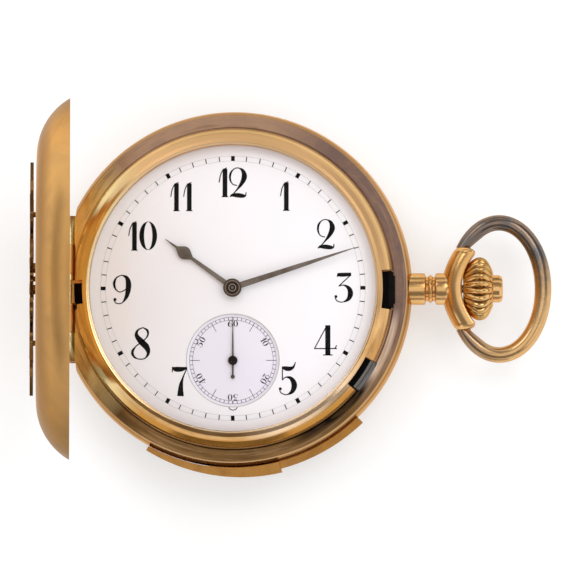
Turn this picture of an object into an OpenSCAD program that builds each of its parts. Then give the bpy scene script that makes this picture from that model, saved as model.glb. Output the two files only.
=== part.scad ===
// Pocket watch with a hunter case, a repeating slide and a side crown.
// Millimetres. +Z runs from the back to the dial, +Y to twelve, +X to the crown.
// The origin is the middle of the flat on the closed back lid.

/* [Case] */
// largest radius of the case band
case_r = 27.5; // [27.2:0.1:28.5]
// height of the band between the two lids
band_h = 6; // [6:0.1:6.6]
// how far each lid rises over its rim
lid_rise = 4.9; // [4.9:0.1:5.4]
// sheet thickness of both lids
lid_wall = 0.5; // [0.4:0.05:0.55]
// radius of the hinge knuckles of both lids
knuckle_r = 0.85; // [0.75:0.05:0.9]
// angle between the open front lid and its closed place, degrees
lid_open = 84.3; // [70:0.1:88]
// height of the scroll ornament on the front lid
ornament_h = 34.5; // [30:0.5:35]

/* [Pendant, crown and bow] */
// radius of the pendant neck
neck_r = 2.55; // [2.3:0.05:2.7]
// largest radius of the crown
crown_r = 4.9; // [4.5:0.1:5.1]
// number of flutes round the crown
crown_flutes = 24; // [20:1:26]
// radius of the push button in the crown
button_r = 2.1; // [1.8:0.05:2.2]
// radius of the bow wire
bow_wire_r = 1.2; // [1:0.05:1.25]
// half width of the oval bow, at the middle of its wire
bow_half = 10.2; // [9.8:0.1:10.8]
// distance from the pivot of the bow to its far end, at the middle of its wire
bow_reach = 12.05; // [11.6:0.05:13]

/* [Repeater slide] */
// outer radius of the slide at its raised end, beyond the band
slide_lip = 1.7; // [1.55:0.05:1.9]
// half height of the slide
slide_half = 1.5; // [1.4:0.05:1.7]

/* [Dial and hands] */
// space between the tip of the minute hand and the bezel
minute_tip_gap = 2.2; // [1.8:0.1:5]
// how much shorter the hour hand is than the minute hand
hour_short = 7; // [6.3:0.1:9]
// space between the tip of the seconds hand and the edge of its dial
second_tip_gap = 0.5; // [0.4:0.05:1.6]
// minutes that the hands show
shown_minute = 12; // [0:1:59]
// distance from the middle of the dial to the edge of the sunk seconds dial
seconds_edge = 4; // [3.8:0.05:4.2]

/* [Movement] */
// space between the rim of the balance and the edge of the main plate
balance_edge = 1.95; // [1.85:0.05:2.5]
// radius of the gong wires
gong_wire_r = 0.35; // [0.25:0.05:0.4]

/* [Hidden] */
$fn = 72;

gold = [0.80, 0.62, 0.36];
rose = [0.72, 0.50, 0.30];
steel = [0.62, 0.63, 0.66];
dark_steel = [0.28, 0.25, 0.23];
brass = [0.78, 0.66, 0.38];
nickel = [0.72, 0.71, 0.67];
enamel = [0.97, 0.97, 0.98];
ruby = [0.75, 0.08, 0.16];
blued = [0.12, 0.16, 0.40];

// heights of the case
z_rim = lid_rise;
z_seat = z_rim + band_h;
z_band = z_rim + band_h / 2;
shoulder_h = 1.1;
z_shoulder = z_seat + shoulder_h;
z_dial = z_seat + 0.7;
dial_t = 0.7;
z_stem = z_dial - 3.7;

// radii of the case
edge_r = case_r - 0.7;
lid_r = case_r - 0.8;
flat_x = case_r - 3.2;
ring_w = 6.1;
plate_r = case_r - ring_w;
// the movement is laid out on a plate of 21.4 and follows the real one
u = plate_r / 21.4;
dial_r = plate_r + 0.9;
bezel_r = dial_r + 2.2;
bezel_in = dial_r - 0.3;
bezel_skirt = dial_r + 0.85;
back_bore = plate_r + 0.5;
fit = 0.05;
seat_gap = 0.02;
thru = 1;

// hinges of the lids, all along Y
hinge_x = -(flat_x + knuckle_r + fit);
hinge_pin_r = 0.35;
hinge_len = 22.5;
leaf_t = 0.6;
// wall that closes each lid along its hinge, and the space between it and the bezel
hinge_wall = 0.3;
hinge_space = 0.1;
knuckle_gap = 0.06;
cuv_r = back_bore + 1;
cuv_rise = 2.6;
cuv_run = 4.5;
cuv_wall = 0.35;
cuv_flat = cuv_r - 0.8;
cuv_knuckle = 0.5;
cuv_x = -(cuv_flat + 0.6);
cuv_z = z_rim + 0.35;
cuv_pin_r = 0.22;
cuv_len = 11;

// pendant, crown and bow stand in the plane of the stem
neck_start = case_r - 2.6;
neck_end = case_r + 1.9;
groove_end = neck_end + 1.6;
collar_end = groove_end + 1.9;
ear_x = collar_end + 1.75;
ear_in_y = 3.9;
ear_out_y = 6.35;
stem_r = 0.6;
stem_bore = stem_r + 0.1;
crown_x0 = ear_x + 0.7;
crown_top = crown_x0 + 2.65;
crown_x1 = crown_x0 + 4.6;
button_x1 = crown_x1 + 1.5;
press_travel = 0.8;
bow_x = ear_x + 1.0;

// oval of the bow: it runs through both ends of the pivot, just outside the ears
bow_end_y = ear_out_y + 0.12;
bow_end_cos = sqrt(1 - pow(bow_end_y / bow_half, 2));
bow_deep = bow_reach / (1 + bow_end_cos);
bow_centre = bow_x + bow_reach - bow_deep;
bow_steps = 60;
bow_sides = 24;

// sector angles on the band, degrees from the crown
slide_a0 = 241.5;
slide_a1 = 284.7;
rail_a0 = 262;
rail_a1 = 314;
rail_r = case_r + 1.1;
slide_r1 = case_r + slide_lip;
slide_r0 = case_r + 0.8;

// movement levels, measured from the dial
lv = z_dial - 11.6;
plate_z0 = lv + 8.2;
plate_z1 = lv + 9.6;
plate_rim_z = z_dial - dial_t;
bridge_z0 = lv + 4.2;
bridge_z1 = lv + 5.6;

// gearing: module of each pair and tooth counts
m_barrel = 0.19 * u;
m_centre = 0.17 * u;
m_third = 0.15 * u;
m_fourth = 0.13 * u;
m_minute = 0.15 * u;
m_hour = 0.12 * u;
m_wind = 0.3 * u;
m_repeat = 0.14 * u;
t_barrel = 90;
t_centre_pin = 12;
t_centre = 80;
t_third_pin = 10;
t_third = 75;
t_fourth_pin = 10;
t_fourth = 70;
t_escape_pin = 7;
t_escape = 15;
t_cannon = 12;
t_minute = 36;
t_minute_pin = 12;
t_hour = 48;
t_ratchet = 40;
t_crown = 24;
t_wind = 15;
t_repeat = 60;

function pair(a, b, m) = (a + b) * m / 2;
function polar(r, a) = [r * cos(a), r * sin(a)];
function dist(p) = sqrt(p[0] * p[0] + p[1] * p[1]);
function side(a, b, ra, rb, s) =
  let (d = dist(b - a), k = (ra * ra - rb * rb + d * d) / (2 * d), h = sqrt(ra * ra - k * k), u = (b - a) / d)
  a + k * u + s * h * [-u[1], u[0]];
function dir(a, b) = atan2(b[1] - a[1], b[0] - a[0]);

p_centre = [0, 0];
p_fourth = u * [0, -11.1];
p_barrel = polar(pair(t_barrel, t_centre_pin, m_barrel), 62);
p_third = side(p_centre, p_fourth, pair(t_centre, t_third_pin, m_centre),
  pair(t_third, t_fourth_pin, m_third), -1);
p_balance = u * [11, -7.9];
escape_r = 3 * u;
escape_to_pallet = 3.5 * u;
pallet_to_balance = 4.4 * u;
p_escape = side(p_fourth, p_balance, pair(t_fourth, t_escape_pin, m_fourth),
  escape_to_pallet + pallet_to_balance, -1);
a_escape = dir(p_escape, p_balance);
p_pallet = p_escape + polar(escape_to_pallet, a_escape);
a_minute = -30;
p_minute = polar(pair(t_minute, t_cannon, m_minute), a_minute);
p_crown_wheel = [p_barrel[0] + sqrt(pow(pair(t_ratchet, t_crown, m_wind), 2) - pow(p_barrel[1], 2)), 0];
p_hour_hammer = polar(16 * u, 190);
p_minute_hammer = polar(16 * u, 222);
p_repeat = u * [-11.5, 8.2];
p_governor = u * [-6.2, 16];

// sizes that follow from the places of the arbors
minute_len = bezel_in - minute_tip_gap;
hour_len = minute_len - hour_short;
seconds_r = dist(p_fourth) - seconds_edge;
second_len = seconds_r - second_tip_gap;
balance_r = plate_r - dist(p_balance) - balance_edge;
feet_r = 18.2 * u;

// ring sector swept between two angles
module sector(a0, a1) { rotate([0, 0, a0]) rotate_extrude(angle = a1 - a0) children(); }

// rod along X from one x to another
module rod_x(x0, x1, r, z = 0) { translate([x0, 0, z]) rotate([0, 90, 0]) cylinder(h = x1 - x0, r = r); }

// rod along Y from one y to another
module rod_y(y0, y1, r) { translate([0, y0, 0]) rotate([-90, 0, 0]) cylinder(h = y1 - y0, r = r); }

// half section of a lid: flat middle and one arc down to the rim
rim_run = 8.5;
module dome2d(r, rise, off, run) {
  arc = (run * run + rise * rise) / (2 * rise);
  intersection() {
    square([r + thru, rise - off]);
    union() {
      square([r - run, rise - off]);
      translate([r - run, rise - arc]) circle(arc - off, $fn = 180);
    }
  }
}

module shell(r, rise, wall, run) {
  rotate_extrude($fn = 144) difference() {
    dome2d(r, rise, 0, run);
    dome2d(r, rise, wall, run);
  }
}

// knuckles along Y about the origin: odd ones belong to the case, even ones to the lid
module knuckles(len, r, bore, which, leaf_x, leaf_z) {
  part = len / 5;
  difference() {
    for (i = [0:4]) if ((i % 2) == which) {
      y0 = -len / 2 + i * part + knuckle_gap / 2;
      y1 = y0 + part - knuckle_gap;
      rod_y(y0, y1, r);
      translate([0, y0, leaf_z < 0 ? leaf_z : 0]) cube([leaf_x, y1 - y0, abs(leaf_z)]);
    }
    rod_y(-len, len, bore);
  }
}

// case middle: band, lid seat and shoulder, with bores for the movement
module case_section() {
  arc = (pow(band_h / 2, 2) + pow(case_r - edge_r, 2)) / (2 * (case_r - edge_r));
  difference() {
    union() {
      intersection() {
        translate([plate_r - 1, z_rim]) square([case_r - plate_r + 2, band_h]);
        union() {
          translate([plate_r - 1, z_rim]) square([3, band_h]);
          translate([case_r - arc, z_band]) circle(arc, $fn = 144);
        }
      }
      polygon([[plate_r - 1, z_seat - thru], [bezel_r + 0.55, z_seat - thru], [bezel_r + 0.4, z_seat],
        [bezel_r + 0.2, z_shoulder], [plate_r - 1, z_shoulder]]);
    }
    translate([0, plate_z0]) square([plate_r, 9]);
    translate([0, z_dial - dial_t]) square([dial_r, 9]);
    translate([0, z_shoulder - 0.7]) square([bezel_skirt, 9]);
    translate([0, z_rim - thru]) square([back_bore, plate_z0 - 0.6 - z_rim + thru]);
    translate([0, z_rim - thru]) square([cuv_r + 0.15, 0.5 + thru]);
  }
}

// cuts shared by the case middle and the bezel: catch, lever and lift spring slots
slot_r = bezel_skirt - 0.1;
slot_w = bezel_r - slot_r;
module ring_slots() {
  translate([0, 0, z_shoulder - 0.95]) {
    sector(-8, 6.5) translate([slot_r, 0]) square([slot_w + 0.6, 4]);
    sector(320, 332.5) translate([slot_r, 0]) square([slot_w + 1.3, 0.85]);
    sector(320, 332.5) translate([slot_r, 0]) square([slot_w - 0.2, 4]);
    sector(177, 186) translate([slot_r, 0]) square([slot_w + 1.7, 4]);
  }
}

// flat on the hinge side, above the lid seat, where the end wall of the lid swings
module hinge_flat() {
  translate([-case_r - 5 - flat_x + hinge_wall + hinge_space, -case_r, z_seat])
    cube([case_r + 5, 2 * case_r, 20]);
}

// case side knuckles of the dust cover hinge
module cuvette_seat() {
  part = cuv_len / 5;
  translate([cuv_x, 0, cuv_z]) difference() {
    for (i = [0, 2, 4]) {
      y0 = -cuv_len / 2 + i * part + (i == 0 ? -0.2 : knuckle_gap / 2);
      y1 = -cuv_len / 2 + (i + 1) * part + (i == 4 ? 0.2 : -knuckle_gap / 2);
      rod_y(y0, y1, cuv_knuckle);
      translate([-cuv_knuckle - 0.2, y0, 0]) cube([cuv_knuckle + 0.2, y1 - y0, cuv_knuckle + 0.2]);
    }
    rod_y(-cuv_len, cuv_len, cuv_pin_r);
  }
}

module case_middle() {
  color(gold) cuvette_seat();
  color(gold) difference() {
    union() {
      difference() {
        rotate_extrude($fn = 180) case_section();
        translate([-case_r - 5 - flat_x, -case_r, 0]) cube([case_r + 5, 2 * case_r, 40]);
        hinge_flat();
      }
      translate([hinge_x, 0, z_seat])
        knuckles(hinge_len, knuckle_r, hinge_pin_r, 0, knuckle_r + 0.4, -knuckle_r);
      translate([hinge_x, 0, z_rim])
        knuckles(hinge_len, knuckle_r, hinge_pin_r, 0, knuckle_r + 0.4, knuckle_r);
    }
    ring_slots();
    // room for the knuckles of the dust cover
    translate([cuv_x - cuv_knuckle - fit, -cuv_len / 2 - fit, z_rim - thru])
      cube([2 * cuv_knuckle + 2.6, cuv_len + 2 * fit, thru + cuv_z - z_rim + cuv_knuckle + fit]);
    // bore of the stem and seat of the pendant
    rod_x(plate_r - 2, case_r + thru, stem_bore, z_stem);
    rod_x(neck_start, case_r + thru, neck_r, z_stem);
    rod_x(plate_r - 2, neck_start + thru, 1.1, z_stem);
    // foot of the slide rail
    translate([0, 0, z_band]) sector(rail_a0, rail_a1) translate([case_r - 0.9, -0.6]) square([3, 1.2]);
  }
}

module bezel() {
  z0 = z_shoulder;
  color(gold) difference() {
    rotate_extrude($fn = 180) {
      difference() {
        polygon([[bezel_in, z0], [bezel_r, z0], [bezel_r, z0 + 0.25], [bezel_r - 0.25, z0 + 0.75],
          [bezel_r - 0.9, z0 + 1.3], [bezel_r - 1.6, z0 + 1.72], [bezel_r - 2.1, z0 + 1.9],
          [bezel_in, z0 + 1.8]]);
        translate([bezel_in - 0.1, z0 + 0.7]) square([0.6, 0.45]);
      }
      translate([bezel_skirt - 0.7, z0 - 0.45]) square([0.7, 0.6]);
    }
    ring_slots();
    hinge_flat();
  }
}

module crystal() {
  r = bezel_in + 0.5;
  z0 = z_shoulder + 0.7;
  top = 1.75;
  bulge = 440;
  color([0.85, 0.92, 0.95, 0.35]) rotate_extrude($fn = 180) difference() {
    union() {
      translate([0, z0]) square([r, 0.45]);
      translate([0, z0]) square([bezel_in, 1.05]);
      intersection() {
        translate([0, z0]) square([bezel_in, top]);
        translate([0, z0 + top - bulge]) circle(bulge, $fn = 720);
      }
    }
    intersection() {
      translate([0, z0 - thru]) square([bezel_in - 0.9, top + thru]);
      translate([0, z0 + top - bulge]) circle(bulge - 0.8, $fn = 720);
    }
  }
}

// hinge pins
module front_hinge_pin() {
  color(gold) translate([hinge_x, 0, z_seat]) rod_y(-hinge_len / 2, hinge_len / 2, hinge_pin_r);
}
module back_hinge_pin() {
  color(gold) translate([hinge_x, 0, z_rim]) rod_y(-hinge_len / 2, hinge_len / 2, hinge_pin_r);
}
module cuvette_hinge_pin() {
  color(gold) translate([cuv_x, 0, cuv_z]) rod_y(-cuv_len / 2 - fit, cuv_len / 2 + fit, cuv_pin_r);
}

// one outer lid, rim at z = 0, hinge pin at x = hinge_x
module lid() {
  difference() {
    union() {
      difference() {
        shell(lid_r, lid_rise, lid_wall, rim_run);
        translate([-flat_x - 10, -lid_r, -thru]) cube([10, 2 * lid_r, 20]);
      }
      // end wall that closes the lid along the hinge
      intersection() {
        rotate_extrude($fn = 144) dome2d(lid_r, lid_rise, 0, rim_run);
        translate([-flat_x, -lid_r, 0]) cube([hinge_wall, 2 * lid_r, lid_rise]);
      }
      translate([hinge_x, 0, 0])
        knuckles(hinge_len, knuckle_r, hinge_pin_r + 0.04, 1, knuckle_r + 0.2, leaf_t);
    }
  }
}

module opened() {
  translate([hinge_x, 0, z_seat]) rotate([0, -lid_open, 0]) translate([-hinge_x, 0, -z_seat]) children();
}

module front_lid() {
  color(gold) opened() translate([0, 0, z_seat + seat_gap]) lid();
}

// scroll ornament: two leaves, four scrolls and a rosette on small posts
orn_t = 0.5;
orn_gap = 0.45;
module leaf2d(len, w) {
  r = (len * len / 4 + w * w / 4) / w;
  intersection() {
    translate([r - w / 2, len / 2]) circle(r, $fn = 180);
    translate([w / 2 - r, len / 2]) circle(r, $fn = 180);
  }
}
module scroll2d(r, w, a0, a1) {
  difference() {
    circle(r);
    circle(r - w);
    if (a1 - a0 < 360) rotate(a1) translate([0, -0.01]) square([r + 1, r + 1]);
  }
  rotate(a1) translate([r - w * 0.5, 0]) circle(w * 0.85);
}
module ornament2d() {
  h = ornament_h / 2;
  circle(1.9);
  difference() { circle(3.4); circle(2.7); }
  for (s = [0, 180]) rotate(s) {
    translate([0, 2.2]) leaf2d(h - 2.2, 2.6);
    for (m = [0, 1]) mirror([m, 0]) {
      translate([3.6, 3.1]) scroll2d(3.0, 0.8, 0, 270);
      translate([2.9, 8.2]) scroll2d(2.5, 0.7, 0, 270);
      translate([0.5, 5.2]) rotate(-38) leaf2d(8.8, 1.7);
      translate([0.4, 1.0]) rotate(-82) leaf2d(9.6, 2.0);
      translate([0.3, 9.4]) rotate(-22) leaf2d(5.4, 1.3);
    }
  }
}
module lid_ornament() {
  top = z_seat + seat_gap + lid_rise;
  color(gold) opened() {
    translate([0, 0, top + orn_gap]) linear_extrude(orn_t) ornament2d();
    for (p = [[0, 0], [0, 9.5], [0, -9.5], [5.6, 1.6], [-5.6, 1.6], [5.6, -1.6], [-5.6, -1.6]])
      translate([p[0], p[1], top]) cylinder(h = orn_gap + 0.1, r = 0.4, $fn = 24);
  }
}

module back_lid() {
  color(gold) translate([0, 0, z_rim - seat_gap]) rotate([180, 0, 0]) lid();
}

// inner dust cover, closed under the back lid
module cuvette() {
  color(gold) {
    translate([0, 0, z_rim + 0.45]) rotate([180, 0, 0]) difference() {
      union() {
        shell(cuv_r - 0.6, cuv_rise, cuv_wall, cuv_run);
        rotate_extrude($fn = 144) translate([cuv_r - 1.2, 0]) square([1.2, 0.4]);
      }
      translate([-cuv_flat - 10, -cuv_r, -thru]) cube([10, 2 * cuv_r, 20]);
    }
    translate([cuv_x, 0, cuv_z])
      knuckles(cuv_len, cuv_knuckle, cuv_pin_r + 0.03, 1, 1.4, -0.3);
  }
}

// spring leaf in the slot by the hinge, it lifts the lid
module lift_spring() {
  color(steel) translate([0, 0, z_shoulder - 0.95])
    sector(178, 185) translate([bezel_skirt + 0.1, 0]) square([0.4, 0.7]);
}

// pendant: neck, groove, collar and the bowl with two ears for the bow
module revolve_x(z = z_stem) { translate([0, 0, z]) rotate([0, 90, 0]) rotate([0, 0, 90]) rotate_extrude() children(); }
ear_r = 2.75;
function bend(a, b, r, n) = let (c = side(a, b, r, r, 1), t0 = dir(c, a), t1 = dir(c, b))
  [for (i = [0:n]) c + polar(r, t0 + (t1 - t0) * i / n)];
// half section of the bowl, radius first: a long flank and two rounded edges
module bowl2d() {
  start = [neck_r + 0.05, collar_end - 0.4];
  knee = [ear_out_y - 0.35, ear_x - 0.35];
  polygon(concat([[0, start[1]]], bend(start, knee, 9, 8), bend(knee, [ear_out_y, ear_x + 0.5], 1, 4),
    bend([ear_out_y, ear_x + 1.5], [ear_out_y - 0.9, ear_x + 2.5], 1.1, 4), [[0, ear_x + 2.6]]));
}
module pendant() {
  color(gold) difference() {
    union() {
      rod_x(neck_start, neck_end, neck_r, z_stem);
      rod_x(neck_end - 0.5, groove_end + 0.5, neck_r - 0.6, z_stem);
      rod_x(groove_end, collar_end + 0.6, neck_r, z_stem);
      intersection() {
        revolve_x() bowl2d();
        translate([ear_x + 0.2, 0, z_stem]) rod_y(-9, 9, ear_r, $fn = 120);
      }
    }
    rod_x(neck_start - thru, ear_x + 3, stem_bore, z_stem);
    // clearance round the crown
    revolve_x() polygon(concat([[0, crown_x0 - 0.15]],
      bend([2.6, crown_x0 - 0.15], [crown_r + 0.35, crown_x0 + 1.8], 3.2, 8),
      [[crown_r + 0.35, crown_x1 + 2], [0, crown_x1 + 2]]));
    translate([bow_x, 0, z_stem]) {
      rod_y(ear_out_y - 1.35, ear_out_y + 2, 0.9 + fit);
      rod_y(-ear_out_y - 2, -ear_out_y + 1.35, 0.9 + fit);
    }
  }
}

// bow: a round wire swept along an open oval, with a pin at each end that turns in its ear
function bow_at(t) = [bow_centre + bow_deep * cos(t), bow_half * sin(t), 0];
function bow_along(t) = let (v = [-bow_deep * sin(t), bow_half * cos(t), 0]) v / norm(v);
function bow_ring(t, last) = let (c = bow_at(t), d = bow_along(t), out = [d[1], -d[0], 0])
  [for (k = [0:bow_sides - 1]) let (q = 360 * k / bow_sides, p = c + bow_wire_r * (cos(q) * out + [0, 0, sin(q)]))
    last ? p + d * ((c[1] - p[1]) / d[1]) : p];
module bow() {
  end_t = 180 - asin(bow_end_y / bow_half);
  points = [for (i = [0:bow_steps]) each bow_ring(end_t * (2 * i / bow_steps - 1), i == 0 || i == bow_steps)];
  n = bow_sides;
  color(gold) translate([0, 0, z_stem]) {
    polyhedron(points, concat(
      [[for (k = [n - 1:-1:0]) k], [for (k = [0:n - 1]) bow_steps * n + k]],
      [for (i = [0:bow_steps - 1], k = [0:n - 1]) let (a = i * n + k, b = i * n + (k + 1) % n) [a, b, a + n]],
      [for (i = [0:bow_steps - 1], k = [0:n - 1]) let (a = i * n + k, b = i * n + (k + 1) % n) [b, b + n, a + n]]));
    for (s = [0, 1]) mirror([0, s, 0]) translate([bow_x, 0, 0]) rod_y(ear_out_y - 1.25, bow_end_y + 0.3, 0.9);
  }
}

// crown: a core and flutes that follow the same onion outline
crown_len = crown_x1 - crown_x0;
module crown_outline(k) {
  polygon([[0, crown_x0], [2.75 - k, crown_x0], [3.6 - k, crown_x0 + 0.5], [crown_r - 0.55 - k, crown_x0 + 1.3],
    [crown_r - 0.1 - k, crown_x0 + 2.0], [crown_r - k, crown_top], [crown_r - 0.2 - k, crown_x0 + 3.3],
    [crown_r - 0.85 - k, crown_x0 + 3.9], [3.1 - k * 0.6, crown_x0 + 4.35], [2.45, crown_x1], [0, crown_x1]]);
}
module crown() {
  rib = 2 * PI * crown_r / crown_flutes * 0.52;
  color(gold) difference() {
    union() {
      revolve_x() crown_outline(0.6);
      intersection() {
        revolve_x() crown_outline(0);
        translate([crown_x0 - thru, 0, z_stem]) rotate([0, 90, 0]) linear_extrude(crown_len + 2)
          for (i = [0:crown_flutes / 2 - 1]) rotate(i * 360 / crown_flutes) square([2 * crown_r + 2, rib], center = true);
      }
      // boss that turns in the cup
      rod_x(crown_x0 - 0.12, crown_x0 + 0.5, 1.4, z_stem);
    }
    rod_x(crown_x0 + 1.2, crown_x1 + thru, button_r + fit, z_stem);
    rod_x(crown_x0 - thru, crown_x1 + thru, stem_r, z_stem);
  }
}

module crown_button() {
  head = 0.55;
  color(gold) difference() {
    union() {
      rod_x(crown_x0 + 1.2 + press_travel + fit, button_x1 - head, button_r, z_stem);
      revolve_x() polygon([[0, button_x1 - head - 0.1], [button_r, button_x1 - head - 0.1],
        [button_r, button_x1 - head], [button_r - 0.2, button_x1 - 0.2], [button_r - 0.6, button_x1 - 0.05],
        [button_r - 1.2, button_x1], [0, button_x1]]);
    }
    rod_x(crown_x0, button_x1 - head - 0.2, stem_r + fit, z_stem);
  }
}

stem_x0 = p_crown_wheel[0] + 2.3;
wind_x = p_crown_wheel[0] + pair(0, t_crown, m_wind);
module winding_stem() {
  color(steel) {
    rod_x(stem_x0, crown_x0 + 2.2, stem_r, z_stem);
    rod_x(plate_r - 1.2, plate_r - 0.9, 0.85, z_stem);
  }
}

// gear outline: tooth half angles at tip, pitch and root, addendum and dedendum in modules
wheel_form = [0.07, 0.19, 0.23, 0.95, 1.25];
pinion_form = [0.07, 0.18, 0.18, 0.80, 1.30];
module gear2d(z, m, f) {
  p = 360 / z;
  r = z * m / 2;
  polygon([for (i = [0:z - 1]) each [
    polar(r - f[4] * m, (i - f[2]) * p), polar(r, (i - f[1]) * p), polar(r + f[3] * m, (i - f[0]) * p),
    polar(r + f[3] * m, (i + f[0]) * p), polar(r, (i + f[1]) * p), polar(r - f[4] * m, (i + f[2]) * p)]]);
}

module winding_pinion() {
  color(steel) difference() {
    union() {
      translate([wind_x - 0.35, 0, z_stem]) rotate([0, 90, 0]) linear_extrude(0.75)
        gear2d(t_wind, m_wind, [0.05, 0.12, 0.15, 0.8, 1.3]);
      rod_x(wind_x + 0.35, wind_x + 1.6, 1.0, z_stem);
    }
    rod_x(wind_x - 2, wind_x + 3, stem_r, z_stem);
  }
}

// track of the slide, fixed in the band
module slide_rail() {
  color(gold) translate([0, 0, z_band]) sector(rail_a0, rail_a1) {
    translate([case_r - 0.9, -0.6]) square([1.6, 1.2]);
    translate([case_r + 0.45, -0.9]) square([rail_r - case_r - 0.45, 1.8]);
  }
}

module wedge2d(a0, a1) {
  polygon([[0, 0], polar(60, a0), polar(60, (a0 + a1) / 2), polar(60, a1)]);
}

module repeater_slide() {
  lead = 20;
  swing = slide_a1 - slide_a0;
  e = (slide_r1 - slide_r0) / (cos(lead) - cos(lead + swing));
  r = slide_r1 - e * cos(lead);
  c = polar(e, slide_a1 + lead);
  color(gold) difference() {
    translate([0, 0, z_band - slide_half]) linear_extrude(2 * slide_half) intersection() {
      wedge2d(slide_a0, slide_a1);
      difference() {
        translate(c) circle(r, $fn = 360);
        circle(case_r + fit, $fn = 360);
      }
    }
    translate([0, 0, z_band]) sector(slide_a0 - 3, slide_a1 + 3) {
      translate([case_r - 1, -0.6 - fit]) square([2, 1.2 + 2 * fit]);
      translate([case_r + 0.45 - fit, -0.9 - fit]) square([rail_r - case_r - 0.45 + 2 * fit, 1.8 + 2 * fit]);
    }
  }
}

// spring catch that holds the front lid shut
module lid_catch() {
  color(steel) translate([bezel_r - 0.6, -3 * u, z_shoulder - 0.93]) {
    cube([0.75, 5.4 * u, 1.03]);
    translate([0.5, 0.6, 0.55]) cube([0.5, 4.2 * u, 0.4]);
  }
}

// lever pulled out to set the hands
lever_a = 326.25;
lever_travel = 0.6;
module setting_lever() {
  color(steel) translate([0, 0, z_shoulder - 0.85])
    sector(lever_a - 5, lever_a + 5) translate([bezel_r - 0.25, 0]) square([0.7, 0.4]);
}

// enamel dial with a round opening for the seconds dial
module dial() {
  color(enamel) difference() {
    union() {
      translate([0, 0, z_dial - dial_t]) cylinder(h = dial_t, r = dial_r, $fn = 180);
      for (a = [100, 222, 342]) translate([polar(17.5 * u, a)[0], polar(17.5 * u, a)[1], plate_z1])
        cylinder(h = z_dial - dial_t - plate_z1 + 0.1, r = 0.4, $fn = 24);
    }
    translate([0, 0, z_dial - 3]) cylinder(h = 6, r = 1.2);
    translate([p_fourth[0], p_fourth[1], z_dial - 3]) cylinder(h = 6, r = seconds_r, $fn = 120);
  }
}
sunk = 0.35;
module seconds_dial() {
  color(enamel) translate([p_fourth[0], p_fourth[1], 0]) difference() {
    translate([0, 0, z_dial - dial_t]) cylinder(h = dial_t - sunk, r = seconds_r, $fn = 120);
    translate([0, 0, z_dial - 3]) cylinder(h = 6, r = 0.4);
  }
}

// hands
hour_z = z_dial + 0.5;
minute_z = z_dial + 1.1;
second_z = z_dial - 0.05;
hand_t = 0.22;
hour_pipe_r = 0.95;
cannon_r = 0.58;
minute_dir = 90 - 6 * shown_minute;
hour_dir = 90 - 30 * (10 + shown_minute / 60);
module hour_hand() {
  bulb = hour_len * 0.72;
  color(dark_steel) translate([0, 0, hour_z]) difference() {
    union() {
      rotate(hour_dir) linear_extrude(hand_t) {
        polygon([[0, -0.42], [bulb, -0.24], [bulb, 0.24], [0, 0.42]]);
        translate([bulb, 0]) circle(1.0);
        polygon([[bulb - 1.5, -0.22], [bulb - 0.45, -0.9], [bulb - 0.45, 0.9], [bulb - 1.5, 0.22]]);
        polygon([[bulb + 0.5, -0.87], [bulb + 1.45, -0.2], [hour_len, -0.05], [hour_len, 0.05],
          [bulb + 1.45, 0.2], [bulb + 0.5, 0.87]]);
      }
      cylinder(h = hand_t + 0.1, r = 1.35);
    }
    translate([0, 0, -thru]) cylinder(h = 3, r = hour_pipe_r);
  }
}
module minute_hand() {
  color(dark_steel) translate([0, 0, minute_z]) difference() {
    union() {
      rotate(minute_dir) linear_extrude(hand_t)
        polygon([[0, -0.5], [minute_len * 0.55, -0.34], [minute_len, -0.05], [minute_len, 0.05],
          [minute_len * 0.55, 0.34], [0, 0.5]]);
      cylinder(h = hand_t + 0.12, r = 1.41);
    }
    translate([0, 0, -thru]) cylinder(h = 3, r = cannon_r);
  }
}
module seconds_hand() {
  tail = second_len * 0.38;
  color(dark_steel) translate([p_fourth[0], p_fourth[1], second_z]) difference() {
    union() {
      linear_extrude(0.14) rotate(90) {
        polygon([[-tail, -0.12], [0, -0.16], [second_len, -0.04], [second_len, 0.04], [0, 0.16], [-tail, 0.12]]);
        translate([-tail, 0]) circle(0.31, $fn = 36);
      }
      cylinder(h = 0.24, r = 0.72);
    }
    translate([0, 0, -thru]) cylinder(h = 3, r = 0.22, $fn = 36);
  }
}

module at(p) { translate([p[0], p[1], 0]) children(); }

// bar with two round ends
module link2d(a, b, ra, rb, w) {
  translate(a) circle(ra);
  translate(b) circle(rb);
  translate(a) rotate(dir(a, b)) translate([0, -w / 2]) square([dist(b - a), w]);
}

// arbor with a pivot at each end
pivot_r = 0.14;
pivot_hole = 0.17;
pivot_len = 0.4;
jewel_r = 0.7;
end_play = 0.04;
module arbor(p, z0, z1, r) {
  at(p) {
    translate([0, 0, z0 + end_play]) cylinder(h = z1 - z0 - 2 * end_play, r = r);
    translate([0, 0, z0 - pivot_len]) cylinder(h = z1 - z0 + 2 * pivot_len, r = pivot_r, $fn = 24);
  }
}

// wheel with spokes
module wheel(z, m, h, spokes, hub, rim, turn) {
  r = z * m / 2 - 1.25 * m;
  linear_extrude(h) {
    difference() {
      rotate(turn) gear2d(z, m, wheel_form);
      circle(r - rim);
    }
    circle(hub);
    for (i = [0:spokes - 1]) rotate(i * 360 / spokes) translate([0, -0.28]) square([r - rim / 2, 0.56]);
  }
}
function meet(a, b, z) = dir(a, b) + 180 + 180 / z;

// levels of the wheels
centre_z = lv + 5.75;
third_z = lv + 6.9;
fourth_z = lv + 6.3;
barrel_z = lv + 6.35;
escape_z = lv + 7.2;
balance_z = lv + 5.75;
wheel_t = 0.3;

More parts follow.
